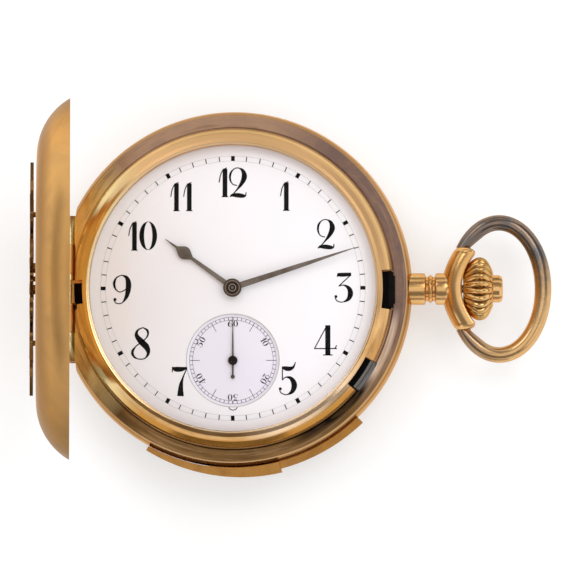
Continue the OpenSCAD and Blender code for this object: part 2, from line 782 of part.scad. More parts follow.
module mainspring_barrel() {
  drum = t_barrel * m_barrel / 2 - 0.55;
  color(brass) at(p_barrel) difference() {
    union() {
      translate([0, 0, barrel_z]) cylinder(h = 1.7, r = drum, $fn = 144);
      translate([0, 0, barrel_z + 1.05]) linear_extrude(0.5)
        rotate(dir(p_barrel, p_centre)) gear2d(t_barrel, m_barrel, wheel_form);
    }
    translate([0, 0, barrel_z - thru]) cylinder(h = 5, r = 0.95);
    translate([0, 0, barrel_z - thru]) difference() {
      cylinder(h = thru + 0.2, r = drum - 0.8, $fn = 96);
      translate([0, 0, -thru]) cylinder(h = 5, r = 2.4);
    }
  }
}
module centre_wheel() {
  color(brass) {
    translate([0, 0, centre_z]) wheel(t_centre, m_centre, wheel_t, 5, 1.2, 0.55, dir(p_centre, p_third));
    translate([0, 0, lv + 7.2]) linear_extrude(0.95) rotate(meet(p_barrel, p_centre, t_centre_pin))
      gear2d(t_centre_pin, m_barrel, pinion_form);
    translate([0, 0, bridge_z1 + end_play]) cylinder(h = plate_z0 - bridge_z1 - 2 * end_play, r = 0.5);
    translate([0, 0, bridge_z1 - pivot_len]) cylinder(h = 1, r = pivot_r, $fn = 24);
    translate([0, 0, plate_z0 - 0.1]) cylinder(h = minute_z - plate_z0, r = 0.3);
  }
}
module third_wheel() {
  color(brass) {
    at(p_third) translate([0, 0, third_z]) wheel(t_third, m_third, wheel_t, 5, 0.9, 0.5, dir(p_third, p_fourth));
    at(p_third) translate([0, 0, centre_z - 0.08]) linear_extrude(0.75) rotate(meet(p_centre, p_third, t_third_pin))
      gear2d(t_third_pin, m_centre, pinion_form);
    arbor(p_third, bridge_z1, plate_z0, 0.4);
  }
}
module fourth_wheel() {
  color(brass) {
    at(p_fourth) translate([0, 0, fourth_z]) wheel(t_fourth, m_fourth, 0.25, 5, 0.8, 0.45, dir(p_fourth, p_escape));
    at(p_fourth) translate([0, 0, third_z - 0.2]) linear_extrude(0.7) rotate(meet(p_third, p_fourth, t_fourth_pin))
      gear2d(t_fourth_pin, m_third, pinion_form);
    arbor(p_fourth, bridge_z1, plate_z0, 0.35);
    at(p_fourth) translate([0, 0, plate_z0 - 0.1]) cylinder(h = second_z + 0.2 - plate_z0, r = 0.22, $fn = 36);
  }
}
module escape_wheel() {
  n = t_escape;
  color(steel) {
    at(p_escape) translate([0, 0, escape_z]) linear_extrude(wheel_t) {
      difference() {
        polygon([for (i = [0:n - 1]) each [
          polar(escape_r - 0.75, i * 24 - 4), polar(escape_r, i * 24 + 5.5), polar(escape_r, i * 24 + 7.5),
          polar(escape_r - 0.75, i * 24 + 3)]]);
        circle(escape_r - 1.15);
      }
      circle(0.7);
      for (i = [0:3]) rotate(i * 90) translate([0, -0.2]) square([escape_r - 1, 0.4]);
    }
    at(p_escape) translate([0, 0, fourth_z - 0.15]) linear_extrude(0.6)
      rotate(meet(p_fourth, p_escape, t_escape_pin)) gear2d(t_escape_pin, m_fourth, pinion_form);
    arbor(p_escape, bridge_z1, plate_z0, 0.24);
  }
}
pallet_z = lv + 7.3;
pallet_top = lv + 6.45;
module pallet_fork() {
  reach = pallet_to_balance - 1.12;
  color(steel) {
    translate([0, 0, pallet_z]) linear_extrude(0.3) {
      for (s = [-1, 1]) link2d(p_pallet, p_escape + polar(escape_r + 0.62, a_escape + s * 29), 0.45, 0.3, 0.5);
      translate(p_pallet) rotate(a_escape) {
        difference() {
          polygon([[0, -0.3], [reach - 0.7, -0.16], [reach - 0.25, -0.42], [reach, -0.42], [reach, 0.42],
            [reach - 0.25, 0.42], [reach - 0.7, 0.16], [0, 0.3]]);
          translate([reach - 0.4, -0.16]) square([1, 0.32]);
        }
      }
    }
    arbor(p_pallet, pallet_top + 0.5, plate_z0, 0.22);
  }
  color(ruby) for (s = [-1, 1]) at(p_escape) rotate(a_escape + s * 31)
    translate([escape_r + 0.15, -0.15, pallet_z - 0.15]) cube([0.7, 0.3, 0.45]);
}
collet_r = 0.6;
spring_z = balance_z - 0.3;
module balance_wheel() {
  rim_w = 0.7;
  screws = 14;
  color(brass) {
    at(p_balance) translate([0, 0, balance_z]) {
      linear_extrude(0.6) difference() {
        circle(balance_r - 0.3, $fn = 144);
        circle(balance_r - 0.3 - rim_w, $fn = 144);
      }
      translate([0, 0, 0.15]) linear_extrude(0.3) {
        translate([-balance_r + 0.6, -0.35]) square([2 * balance_r - 1.2, 0.7]);
        circle(1.1);
      }
      for (i = [0:screws - 1]) rotate(i * 360 / screws) translate([0, 0, 0.3])
        rod_x(balance_r - 0.5, balance_r, 0.24, $fn = 24);
    }
    at(p_balance) translate([0, 0, spring_z - 0.02]) cylinder(h = 0.4, r = collet_r);
    at(p_balance) translate([0, 0, lv + 6.85]) cylinder(h = 0.2, r = 0.95);
    at(p_balance) rotate(a_escape + 180) translate([0.75, 0, lv + 6.95]) cylinder(h = 0.65, r = 0.11, $fn = 24);
    arbor(p_balance, bridge_z0 + 1, plate_z0, 0.25);
  }
}

// spiral strip about the balance staff
turns = 8;
spiral_r = 2.9;
strip = 0.09;
spiral_n = 96;
function spiral(k, off) = let (a = k * 360 * turns / spiral_n, r = collet_r + (spiral_r - collet_r) * k / spiral_n + off)
  polar(r, a);
module hairspring() {
  color(blued) at(p_balance) translate([0, 0, spring_z]) linear_extrude(0.2)
    polygon([for (k = [0:spiral_n]) spiral(k, strip / 2), for (k = [spiral_n:-1:0]) spiral(k, -strip / 2)]);
}

// places of pillars, posts and screws
pillar_r = 1;
crown_post_r = 0.8;
cock_foot = polar(feet_r, -69);
pallet_foot = p_pallet + polar(4.5, a_escape - 90);
barrel_feet = [for (a = [20, 90, 128]) polar(feet_r, a)];
train_feet = u * [[-17, 0.3], [-0.4, -18.2]];
pivots = [p_centre, p_third, p_fourth, p_escape];

module jewel_bores(z0, h, pts) {
  for (p = pts) at(p) translate([0, 0, z0 - thru]) cylinder(h = h + 2 * thru, r = jewel_r);
}
plate_jewel = 0.6;
module main_plate() {
  color(nickel) {
    difference() {
      union() {
        translate([0, 0, plate_z0]) cylinder(h = plate_z1 - plate_z0, r = plate_r, $fn = 180);
        translate([0, 0, plate_z0]) difference() {
          cylinder(h = plate_rim_z - plate_z0, r = plate_r, $fn = 180);
          translate([0, 0, -thru]) cylinder(h = 9, r = plate_r - 0.9, $fn = 180);
        }
      }
      for (p = [p_third, p_escape, p_pallet, p_balance]) at(p) translate([0, 0, plate_z0 - thru])
        cylinder(h = plate_jewel + thru, r = jewel_r);
      at(p_fourth) translate([0, 0, plate_z0 - thru]) cylinder(h = 4, r = 0.3);
      translate([0, 0, plate_z0 - thru]) cylinder(h = 4, r = 0.36);
      at(p_barrel) translate([0, 0, plate_z0 - thru]) cylinder(h = thru + 0.8, r = 0.55);
      // window of the winding pinion and bore of the stem
      translate([wind_x - 0.6, -2.8 * u, plate_z0 - thru]) cube([2.6, 5.6 * u, 4]);
      rod_x(stem_x0 - 0.4, plate_r + thru, 1.05, z_stem);
    }
    for (p = [p_hour_hammer, p_minute_hammer]) at(p) translate([0, 0, lv + 5.95])
      cylinder(h = plate_z0 - lv - 5.9, r = 0.35);
    at(p_repeat) translate([0, 0, lv + 5.7]) cylinder(h = plate_z0 - lv - 5.65, r = 0.5);
    at(p_governor) translate([0, 0, lv + 5.7]) cylinder(h = plate_z0 - lv - 5.65, r = 0.3);
    at(p_crown_wheel) translate([0, 0, wind_z - 0.04]) cylinder(h = plate_z0 - wind_z + 0.1, r = crown_post_r);
    at(p_minute) translate([0, 0, plate_z1 - 0.1]) cylinder(h = 1.3, r = 0.25, $fn = 36);
  }
}

module feet(pts, z0) {
  for (p = pts) at(p) translate([0, 0, z0]) cylinder(h = plate_z0 - z0, r = pillar_r);
}

far = 60;
module barrel_bridge() {
  color(nickel) {
    difference() {
      translate([0, 0, bridge_z0]) linear_extrude(bridge_z1 - bridge_z0) difference() {
        circle(plate_r - 1.4, $fn = 180);
        translate([p_crown_wheel[0] - 5.7 * u - far, 2.2 * u - far]) square(far);
        translate([-far, -1 - far]) square([2 * far, far]);
        translate(p_repeat) circle(pair(0, t_repeat, m_repeat) + 0.4);
        translate(p_governor) circle(2.3);
        translate(p_crown_wheel) circle(pair(0, t_crown, m_wind) + 0.6, $fn = 96);
        translate([wind_x - 0.7, -5 * u]) square([2.4, 7.8 * u]);
        circle(2.6);
      }
      at(p_barrel) translate([0, 0, bridge_z0 - thru]) cylinder(h = 5, r = 0.95);
      for (p = barrel_feet) at(p) translate([0, 0, bridge_z0 - thru]) cylinder(h = thru + 0.5, r = 0.75);
    }
    feet(barrel_feet, bridge_z0 + 0.5);
  }
}
module train_bridge() {
  color(nickel) {
    difference() {
      translate([0, 0, bridge_z0]) linear_extrude(bridge_z1 - bridge_z0) difference() {
        union() {
          link2d(p_centre, p_third, 2.3, 2.6, 3.6);
          link2d(p_third, p_fourth, 2.6, 2.2, 3.2);
          link2d(p_fourth, p_escape, 2.2, 1.5, 2.4);
          link2d(p_fourth, train_feet[1], 2.2, 1.5, 2.4);
          link2d(p_centre, train_feet[0], 2.3, 1.6, 2.8);
        }
        translate(p_balance) circle(balance_r + 0.5, $fn = 120);
        translate([-far, 2.1 * u]) square([2 * far, far]);
      }
      jewel_bores(bridge_z0, bridge_z1 - bridge_z0, pivots);
      for (p = train_feet) at(p) translate([0, 0, bridge_z0 - thru]) cylinder(h = thru + 0.5, r = 0.75);
    }
    feet(train_feet, bridge_z0 + 0.5);
  }
}
module balance_cock() {
  t = 1;
  stud = spiral(spiral_n, 0);
  color(nickel) {
    difference() {
      translate([0, 0, bridge_z0]) linear_extrude(t) link2d(cock_foot, p_balance, 2.0, 1.9, 3.0);
      jewel_bores(bridge_z0, t, [p_balance]);
      at(cock_foot) translate([0, 0, bridge_z0 - thru]) cylinder(h = thru + 0.4, r = 0.75);
    }
    at(cock_foot) translate([0, 0, bridge_z0 + 0.4]) cylinder(h = plate_z0 - bridge_z0 - 0.4, r = 1.3);
    translate([0, 0, bridge_z0 + 0.2]) linear_extrude(0.4)
      link2d(p_balance + polar(1.5, 0), p_balance + stud + [0.35, 0], 0.4, 0.4, 0.6);
    at(p_balance + stud + [0.35, 0]) translate([0, 0, bridge_z0 + 0.2]) cylinder(h = 1.2, r = 0.3, $fn = 24);
  }
}
module pallet_bridge() {
  color(nickel) {
    difference() {
      translate([0, 0, pallet_top]) linear_extrude(0.5) link2d(p_pallet, pallet_foot, 1.1, 1.2, 1.8);
      jewel_bores(pallet_top, 0.5, [p_pallet]);
    }
    at(pallet_foot) translate([0, 0, pallet_top + 0.3]) cylinder(h = plate_z0 - pallet_top - 0.3, r = 1);
  }
}
module regulator() {
  color(steel) difference() {
    translate([0, 0, bridge_z0 - 0.22]) linear_extrude(0.22) {
      link2d(p_balance, p_balance + polar(3.6, dir(p_balance, cock_foot) + 14), 1.35, 0.18, 0.3);
      link2d(p_balance, p_balance + polar(1.9, dir(p_balance, cock_foot) + 190), 1.35, 0.22, 0.4);
    }
    at(p_balance) translate([0, 0, 0]) cylinder(h = 9, r = 0.85);
  }
}
module jewels() {
  t = bridge_z1 - bridge_z0;
  color(ruby) {
    for (p = pivots) at(p) ring(bridge_z0, t, jewel_r, pivot_hole);
    for (p = [p_third, p_escape, p_pallet, p_balance]) at(p) ring(plate_z0, plate_jewel, jewel_r, pivot_hole);
    at(p_pallet) ring(pallet_top, 0.5, jewel_r, pivot_hole);
    at(p_balance) ring(bridge_z0, 1, jewel_r, pivot_hole);
  }
}
module ring(z, h, r, hole) {
  translate([0, 0, z]) difference() {
    cylinder(h = h, r = r);
    translate([0, 0, -thru]) cylinder(h = h + 2 * thru, r = hole, $fn = 24);
  }
}
module slotted(p, z, r, h) {
  at(p) translate([0, 0, z]) difference() {
    cylinder(h = h, r = r);
    rotate(dir([0, 0], p) + 40) translate([-r - 1, -0.12, -thru]) cube([2 * r + 2, 0.24, thru + 0.2]);
  }
}
module bridge_screws() {
  color(blued) {
    for (p = concat(barrel_feet, train_feet)) slotted(p, bridge_z0, 0.75, 0.5);
    slotted(cock_foot, bridge_z0, 0.75, 0.4);
    slotted(pallet_foot, pallet_top - 0.25, 0.6, 0.25);
    slotted(p_crown_wheel, wind_z - 0.39, 1.5, 0.35);
  }
}

// winding wheels on the barrel bridge
wind_z = bridge_z0 - 0.48;
module ratchet_wheel() {
  color(steel) at(p_barrel) {
    translate([0, 0, wind_z]) linear_extrude(0.4) rotate(meet(p_crown_wheel, p_barrel, t_ratchet))
      gear2d(t_ratchet, m_wind, wheel_form);
    translate([0, 0, wind_z]) cylinder(h = plate_z0 - wind_z - end_play, r = 0.9);
    translate([0, 0, plate_z0 - 0.2]) cylinder(h = 0.8, r = 0.5);
  }
}
face_z = z_stem - (t_wind / 2 + 0.8) * m_wind - 0.06;
module crown_wheel() {
  color(steel) at(p_crown_wheel) difference() {
    union() {
      translate([0, 0, wind_z]) linear_extrude(0.45) rotate(dir(p_crown_wheel, p_barrel))
        gear2d(t_crown, m_wind, wheel_form);
      translate([0, 0, wind_z + 0.44]) cylinder(h = face_z - wind_z - 0.44, r = pair(0, t_crown, m_wind) + 0.35, $fn = 96);
      for (i = [0:t_crown - 1]) rotate((i + 0.5) * 360 / t_crown)
        translate([pair(0, t_crown, m_wind) - 0.5, -0.13, face_z - 0.1]) cube([0.75, 0.26, 0.4]);
    }
    translate([0, 0, -thru]) cylinder(h = 9, r = crown_post_r + fit);
  }
}
module click() {
  pivot = p_barrel + polar(pair(0, t_ratchet, m_wind) + 2.4, 150);
  color(steel) {
    translate([0, 0, wind_z + 0.05]) linear_extrude(0.43) {
      translate(pivot) circle(0.9);
      translate(pivot) rotate(dir(pivot, p_barrel) + 34) polygon([[0, -0.7], [2.1, -0.12], [2.1, 0.12], [0, 0.7]]);
    }
    at(pivot) translate([0, 0, wind_z - 0.1]) cylinder(h = 0.4, r = 0.5);
  }
}

// motion work under the dial
module cannon_pinion() {
  top = minute_z + hand_t + 0.25;
  color(steel) difference() {
    union() {
      translate([0, 0, plate_z1 + 0.1]) linear_extrude(0.45) rotate(dir(p_centre, p_minute))
        gear2d(t_cannon, m_minute, pinion_form);
      translate([0, 0, plate_z1 + 0.06]) cylinder(h = top - plate_z1 - 0.06, r = cannon_r);
    }
    translate([0, 0, plate_z1 - thru]) cylinder(h = minute_z - plate_z1 + thru - 0.05, r = 0.33);
  }
}
module minute_wheel() {
  color(brass) at(p_minute) difference() {
    union() {
      translate([0, 0, plate_z1 + 0.15]) linear_extrude(0.32) rotate(meet(p_centre, p_minute, t_minute))
        gear2d(t_minute, m_minute, wheel_form);
      translate([0, 0, plate_z1 + 0.4]) linear_extrude(0.7) rotate(dir(p_minute, p_centre))
        gear2d(t_minute_pin, m_hour, pinion_form);
    }
    translate([0, 0, plate_z1 - thru]) cylinder(h = 4, r = 0.28, $fn = 36);
  }
}
module hour_wheel() {
  color(brass) difference() {
    union() {
      translate([0, 0, plate_z1 + 0.7]) linear_extrude(0.3) rotate(meet(p_minute, p_centre, t_hour))
        gear2d(t_hour, m_hour, wheel_form);
      translate([0, 0, plate_z1 + 0.62]) cylinder(h = hour_z + hand_t - plate_z1 - 0.62, r = hour_pipe_r);
    }
    translate([0, 0, plate_z1 - thru]) cylinder(h = 6, r = cannon_r + 0.04);
  }
}

// striking work
gong_r = plate_r - 0.45;
head_place = gong_r - gong_wire_r - 1.3;
gong_a0 = -66;
gong_a1 = 262;
module gong(z) {
  sector(gong_a0, gong_a1) translate([gong_r, z]) circle(gong_wire_r, $fn = 24);
}
module gong_outer() { color(blued) gong(lv + 6.75); }
module gong_inner() { color(blued) gong(lv + 5.85); }
module gong_block() {
  color(steel) translate([0, 0, lv + 5.45])
    sector(gong_a1, gong_a1 + 5) translate([gong_r - 0.6, 0]) square([back_bore - gong_r + 0.6, plate_z0 - 0.6 - lv - 5.45]);
}
module hammer(p, a, z) {
  head = polar(head_place, a);
  color(steel) difference() {
    union() {
      translate([0, 0, lv + 6.15]) linear_extrude(0.7) link2d(p, head, 1.0, 0.8, 0.9);
      at(head) translate([0, 0, z]) cylinder(h = 1.1, r = 1.0);
      at(p) translate([0, 0, lv + 6.05]) cylinder(h = 1.6, r = 0.8);
    }
    at(p) translate([0, 0, lv + 5]) cylinder(h = 4, r = 0.35 + fit);
  }
}
module hour_hammer() { hammer(p_hour_hammer, 207, lv + 6.1); }
module minute_hammer() { hammer(p_minute_hammer, 239, lv + 5.15); }
module repeater_barrel() {
  drum = pair(0, t_repeat, m_repeat) - 0.9;
  color(brass) at(p_repeat) difference() {
    union() {
      translate([0, 0, lv + 7.1]) linear_extrude(0.4) gear2d(t_repeat, m_repeat, wheel_form);
      translate([0, 0, lv + 5.9]) cylinder(h = 2.1, r = drum, $fn = 96);
    }
    translate([0, 0, lv + 5]) cylinder(h = 4, r = 0.5 + fit);
    translate([0, 0, lv + 5]) difference() {
      cylinder(h = 1.1, r = drum - 0.5);
      translate([0, 0, -thru]) cylinder(h = 4, r = 1.2);
    }
  }
}
module governor() {
  color(brass) at(p_governor) difference() {
    union() {
      translate([0, 0, lv + 5.95]) cylinder(h = 2, r = 0.6);
      translate([0, 0, lv + 6.6]) linear_extrude(0.3) {
        translate([-1.4, -0.25]) square([2.8, 0.5]);
        for (s = [-1, 1]) translate([s * 1.25, 0]) circle(0.5);
      }
    }
    translate([0, 0, lv + 5]) cylinder(h = 4, r = 0.3 + fit);
  }
}

case_middle();
bezel();
crystal();
pendant();
slide_rail();
front_hinge_pin();
back_hinge_pin();
cuvette_hinge_pin();
lift_spring();
front_lid();
lid_ornament();
back_lid();
cuvette();
bow();
crown();
crown_button();
winding_stem();
winding_pinion();
crown_wheel();
ratchet_wheel();
click();
lid_catch();
setting_lever();
repeater_slide();
main_plate();
dial();
seconds_dial();
hour_hand();
minute_hand();
seconds_hand();
cannon_pinion();
minute_wheel();
hour_wheel();
barrel_bridge();
train_bridge();
balance_cock();
pallet_bridge();
regulator();
mainspring_barrel();
centre_wheel();
third_wheel();
fourth_wheel();
escape_wheel();
pallet_fork();
balance_wheel();
hairspring();
jewels();
bridge_screws();
gong_outer();
gong_inner();
gong_block();
hour_hammer();
minute_hammer();
repeater_barrel();
governor();
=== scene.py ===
import math

import bpy
from mathutils import Matrix, Vector


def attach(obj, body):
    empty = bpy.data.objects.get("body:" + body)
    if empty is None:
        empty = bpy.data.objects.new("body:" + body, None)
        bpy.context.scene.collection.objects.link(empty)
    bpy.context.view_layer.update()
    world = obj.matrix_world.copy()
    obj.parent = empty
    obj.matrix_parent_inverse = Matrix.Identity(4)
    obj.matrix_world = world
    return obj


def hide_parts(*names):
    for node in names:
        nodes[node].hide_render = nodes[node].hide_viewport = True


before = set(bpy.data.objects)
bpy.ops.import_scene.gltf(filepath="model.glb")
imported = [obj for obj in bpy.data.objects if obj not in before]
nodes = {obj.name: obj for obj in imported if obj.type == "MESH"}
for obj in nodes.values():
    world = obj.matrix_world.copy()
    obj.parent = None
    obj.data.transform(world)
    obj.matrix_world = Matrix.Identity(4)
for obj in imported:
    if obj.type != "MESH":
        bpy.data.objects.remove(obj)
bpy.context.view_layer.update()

# One millimetre in metres. Sizes are in mm from the frame's origin, unless a comment says otherwise.
MM = 0.001
# Height of the axis that stem, crown, neck and bow share
STEM_Z = 7.9
# Heights of the two enamel faces, and the seconds dial's centre
DIAL_Z = 11.6
SUNK_DIAL_Z = 11.25
SECONDS_Y = -11.1
# The bow's ends lie at this distance from the stem's axis
EAR_Y = 6.4
CROWN_RIBS = 24


# Materials. Nearly all of a noise's values lie in this range.
NOISE_RANGE = (0.3, 0.7)


def lin(r, g, b):
    """sRGB 0-255 to linear."""
    out = []
    for v in (r, g, b):
        v = v / 255.0
        out.append(v / 12.92 if v <= 0.04045 else ((v + 0.055) / 1.055) ** 2.4)
    return (*out, 1.0)


class Mat:
    """A principled material with helpers for procedural colour, roughness and bump."""

    def __init__(self, name, color, metallic=0.0, rough=0.4, **sockets):
        self.data = bpy.data.materials.new(name)
        self.data.use_nodes = True
        self.tree = self.data.node_tree
        self.shader = self.tree.nodes["Principled BSDF"]
        self.shader.inputs["Base Color"].default_value = color
        self.shader.inputs["Metallic"].default_value = metallic
        self.shader.inputs["Roughness"].default_value = rough
        for socket, value in sockets.items():
            self.shader.inputs[socket.replace("_", " ")].default_value = value
        self.coord = None
        self.matte = None

    def node(self, kind, **props):
        n = self.tree.nodes.new(kind)
        for prop, value in props.items():
            setattr(n, prop, value)
        return n

    def link(self, source, target):
        self.tree.links.new(source, target)

    def feed(self, sockets, values):
        """Set each socket to its number or colour, or link it to its source."""
        for socket, value in zip(sockets, values):
            if isinstance(value, (int, float, tuple)):
                socket.default_value = value
            else:
                self.link(value, socket)

    def pos(self):
        """Place on the piece in its own axes, in metres."""
        if self.coord is None:
            self.coord = self.node("ShaderNodeTexCoord")
        return self.coord.outputs["Object"]

    def xyz(self):
        parts = self.node("ShaderNodeSeparateXYZ")
        self.link(self.pos(), parts.inputs[0])
        return parts.outputs

    def noise(self, scale, detail, rough, vec=None, stretch=None, dist=0.0):
        """Cloudy noise over the piece, or over another vector, drawn out where stretch is below 1."""
        n = self.node("ShaderNodeTexNoise")
        n.inputs["Scale"].default_value = scale
        n.inputs["Detail"].default_value = detail
        n.inputs["Roughness"].default_value = rough
        n.inputs["Distortion"].default_value = dist
        source = vec or self.pos()
        if stretch:
            mapping = self.node("ShaderNodeMapping")
            mapping.inputs["Scale"].default_value = stretch
            self.link(source, mapping.inputs["Vector"])
            source = mapping.outputs["Vector"]
        self.link(source, n.inputs["Vector"])
        return n.outputs["Fac"]

    def math(self, operation, *values):
        n = self.node("ShaderNodeMath", operation=operation)
        self.feed(n.inputs, values)
        return n.outputs[0]

    def plus(self, a, b):
        return self.math("ADD", a, b)

    def minus(self, a, b):
        return self.math("SUBTRACT", a, b)

    def larger(self, a, b):
        return self.math("MAXIMUM", a, b)

    def times(self, *factors):
        out = factors[0]
        for f in factors[1:]:
            out = self.math("MULTIPLY", out, f)
        return out

    def hypot(self, a, b):
        return self.math("SQRT", self.plus(self.times(a, a), self.times(b, b)))

    def radius(self):
        """Distance from the dial's axis, in metres."""
        x, y, z = self.xyz()
        return self.hypot(x, y)

    def span(self, v, a, b, lo=0.0, hi=1.0):
        """Goes from lo at a to hi at b, and stays there beyond."""
        n = self.node("ShaderNodeMapRange")
        self.link(v, n.inputs["Value"])
        for socket, value in zip(("From Min", "From Max", "To Min", "To Max"), (a, b, lo, hi)):
            n.inputs[socket].default_value = value
        return n.outputs["Result"]

    def fade(self, v, a, b, lo=0.0, hi=1.0):
        """The same for a length in metres, with its two ends in mm."""
        return self.span(v, a * MM, b * MM, lo, hi)

    def wedge(self, centre, half, soft):
        """1 within half degrees of a direction in plan, 0 beyond half + soft."""
        x, y, z = self.xyz()
        a = math.radians(centre)
        along = self.plus(self.times(x, math.cos(a)), self.times(y, math.sin(a)))
        cosine = self.math("DIVIDE", along, self.radius())
        outer = math.radians(min(half + soft, 179))
        return self.span(cosine, math.cos(outer), math.cos(math.radians(half)))

    def mix(self, fac, a, b):
        n = self.node("ShaderNodeMix", data_type="RGBA")
        self.feed((n.inputs[0], n.inputs[6], n.inputs[7]), (fac, a, b))
        return n.outputs[2]

    def over(self, c, tone, *factors):
        """Colour c with a tone laid over it by the product of the factors."""
        return self.mix(self.times(*factors), c, tone)

    def color(self, out):
        self.link(out, self.shader.inputs["Base Color"])

    def mottled(self, scale, tone, other, detail=2.0):
        """Colour that wanders between two tones."""
        n = self.noise(scale, detail, 0.5)
        self.color(self.mix(self.span(n, *NOISE_RANGE), tone, other))

    def rough(self, noise, lo, hi):
        """Roughness that wanders between two values with a noise."""
        self.link(self.span(noise, *NOISE_RANGE, lo, hi), self.shader.inputs["Roughness"])

    def bump(self, height, strength, dist):
        """Unevenness that is dist metres high where it counts in full."""
        n = self.node("ShaderNodeBump")
        n.inputs["Strength"].default_value = strength
        n.inputs["Distance"].default_value = dist
        self.link(height, n.inputs["Height"])
        self.link(n.outputs["Normal"], self.shader.inputs["Normal"])


def gold(name, base, warm, dark, tarnish=0.35, rough=(0.13, 0.3), scale=60.0, extra=None):
    """Old polished gold: warm patches, brown tarnish in cloudy spots, hairline scratches."""
    m = Mat(name, base, metallic=1.0, rough=0.2, Specular_Tint=lin(240, 216, 190))
    patch = m.noise(scale, 5.0, 0.6, dist=0.4)
    cloud = m.noise(scale * 2.7, 6.0, 0.65, dist=0.8)
    c = m.mix(m.span(patch, 0.35, 0.65), base, warm)
    c = m.mix(m.span(cloud, 0.5, 0.78, 0.0, tarnish), c, dark)
    if extra:
        c = extra(m, c, cloud)
    m.color(c)
    scratch = m.noise(900.0, 2.0, 0.5, stretch=(1.0, 0.15, 1.0))
    worn = m.plus(m.times(cloud, 0.6), m.times(scratch, 0.4))
    out = m.span(worn, *NOISE_RANGE, *rough)
    if m.matte is not None:
        out = m.larger(out, m.times(m.matte, 0.6))
    m.link(out, m.shader.inputs["Roughness"])
    m.bump(m.noise(1400.0, 3.0, 0.6), 0.06, 0.00003)
    return m


# Painted black shade for the dark openings, and the tone of the steel lever in one of them
SLOT_SHADE_BLACK = lin(14, 12, 12)
PLATE = lin(112, 112, 110)
# Tones laid over the rim; the glint is a painted highlight along the outer ridge
PURPLE = lin(121, 98, 91)
AMBER = lin(165, 120, 68)
UMBER = lin(102, 75, 44)
ROSE = lin(184, 146, 117)
LEMON = lin(255, 240, 180)
PEACH = lin(238, 208, 182)
SAND = lin(186, 148, 112)
SOOT = lin(26, 19, 14)
COCOA = lin(104, 76, 52)
HAZEL = lin(146, 107, 64)
RIDGE_HIGHLIGHT = lin(240, 200, 150)
JOINT = lin(84, 56, 30)
# Tones laid over the bezel; straw and blush paint the inner slope lighter on the upper half and at the lower
# right, butter and ivory are painted highlights on the outer edge and on the lip
BRONZE = lin(150, 104, 58)
STRAW_LIGHT = lin(238, 192, 136)
BLUSH_LIGHT = lin(255, 220, 180)
BUTTER_HIGHLIGHT = lin(255, 214, 150)
HONEY = lin(196, 138, 58)
CREAM = lin(255, 230, 170)
IVORY_HIGHLIGHT = lin(255, 232, 196)
RUST = lin(150, 96, 40)
# Tones laid over the lids
TAN = lin(200, 156, 104)
FAWN = lin(168, 128, 84)
OLIVE = lin(132, 100, 62)
TAUPE = lin(122, 98, 74)
DUN = lin(146, 112, 78)
# Tones laid over the bow and the crown
ASH = lin(128, 111, 102)
SLATE = lin(100, 103, 106)
DIRT = lin(92, 62, 34)

# The three openings beside the glass: direction and half width in degrees, and outer radius
SLOTS = ((-0.75, 6.9, 24.55), (326.25, 6.0, 25.0), (182.75, 4.6, 24.55))
SLOT_INNER = 20.5
SLOT_EDGE = 0.04
SLOT_SIDE = 0.4
# Height of the bezel's step, which the openings cut
BEZEL_STEP_Z = 11.55
# The back lid lies below this height and the front lid stands above it
LIDS_PART_Z = 12.5
LIDS_FADE = 0.5
# The upright lid: height of its middle, and the plane of its rim, which leans towards the dial with height
LID_MIDDLE_Z = 34.2
LID_FOOT_X = -25.2
LID_FOOT_Z = 10.9
LID_LEAN = 0.0998


def in_slots(m):
    """1 inside the three openings beside the glass."""
    r = m.radius()
    total = None
    for direction, half, outer in SLOTS:
        beyond = m.fade(r, SLOT_INNER, SLOT_INNER + SLOT_EDGE)
        within = m.fade(r, outer, outer - SLOT_EDGE)
        cut = m.times(beyond, within, m.wedge(direction, half, SLOT_SIDE))
        total = cut if total is None else m.larger(total, cut)
    return total


def slot_shade_and_lever(m, r):
    """Painted black shade, with the steel of the setting lever on the outer half of its opening."""
    lever = m.times(m.wedge(326.5, 5.6, 0.3), m.fade(r, 23.85, 23.92), m.fade(r, 24.92, 24.86))
    return m.mix(lever, SLOT_SHADE_BLACK, PLATE)


def band(m, r, at, half):
    """1 on a thin ring of radius at, fading to both sides, in mm."""
    off = m.math("ABSOLUTE", m.minus(r, at * MM))
    return m.fade(off, half, 0.0)


def streaks(m, along, across):
    """Noise drawn out along circles round the dial's centre."""
    x, y, z = m.xyz()
    v = m.node("ShaderNodeCombineXYZ")
    turn = m.math("ARCTAN2", y, x)
    m.link(m.times(m.math("COSINE", turn), along), v.inputs[0])
    m.link(m.times(m.math("SINE", turn), along), v.inputs[1])
    m.link(m.times(m.radius(), across), v.inputs[2])
    return m.noise(1.0, 4.0, 0.6, vec=v.outputs[0])


def ragged(m, length, cloud, by):
    """A length that cloud pushes out by up to so many mm, so that edges drawn from it are uneven."""
    return m.plus(length, m.times(cloud, by * MM))


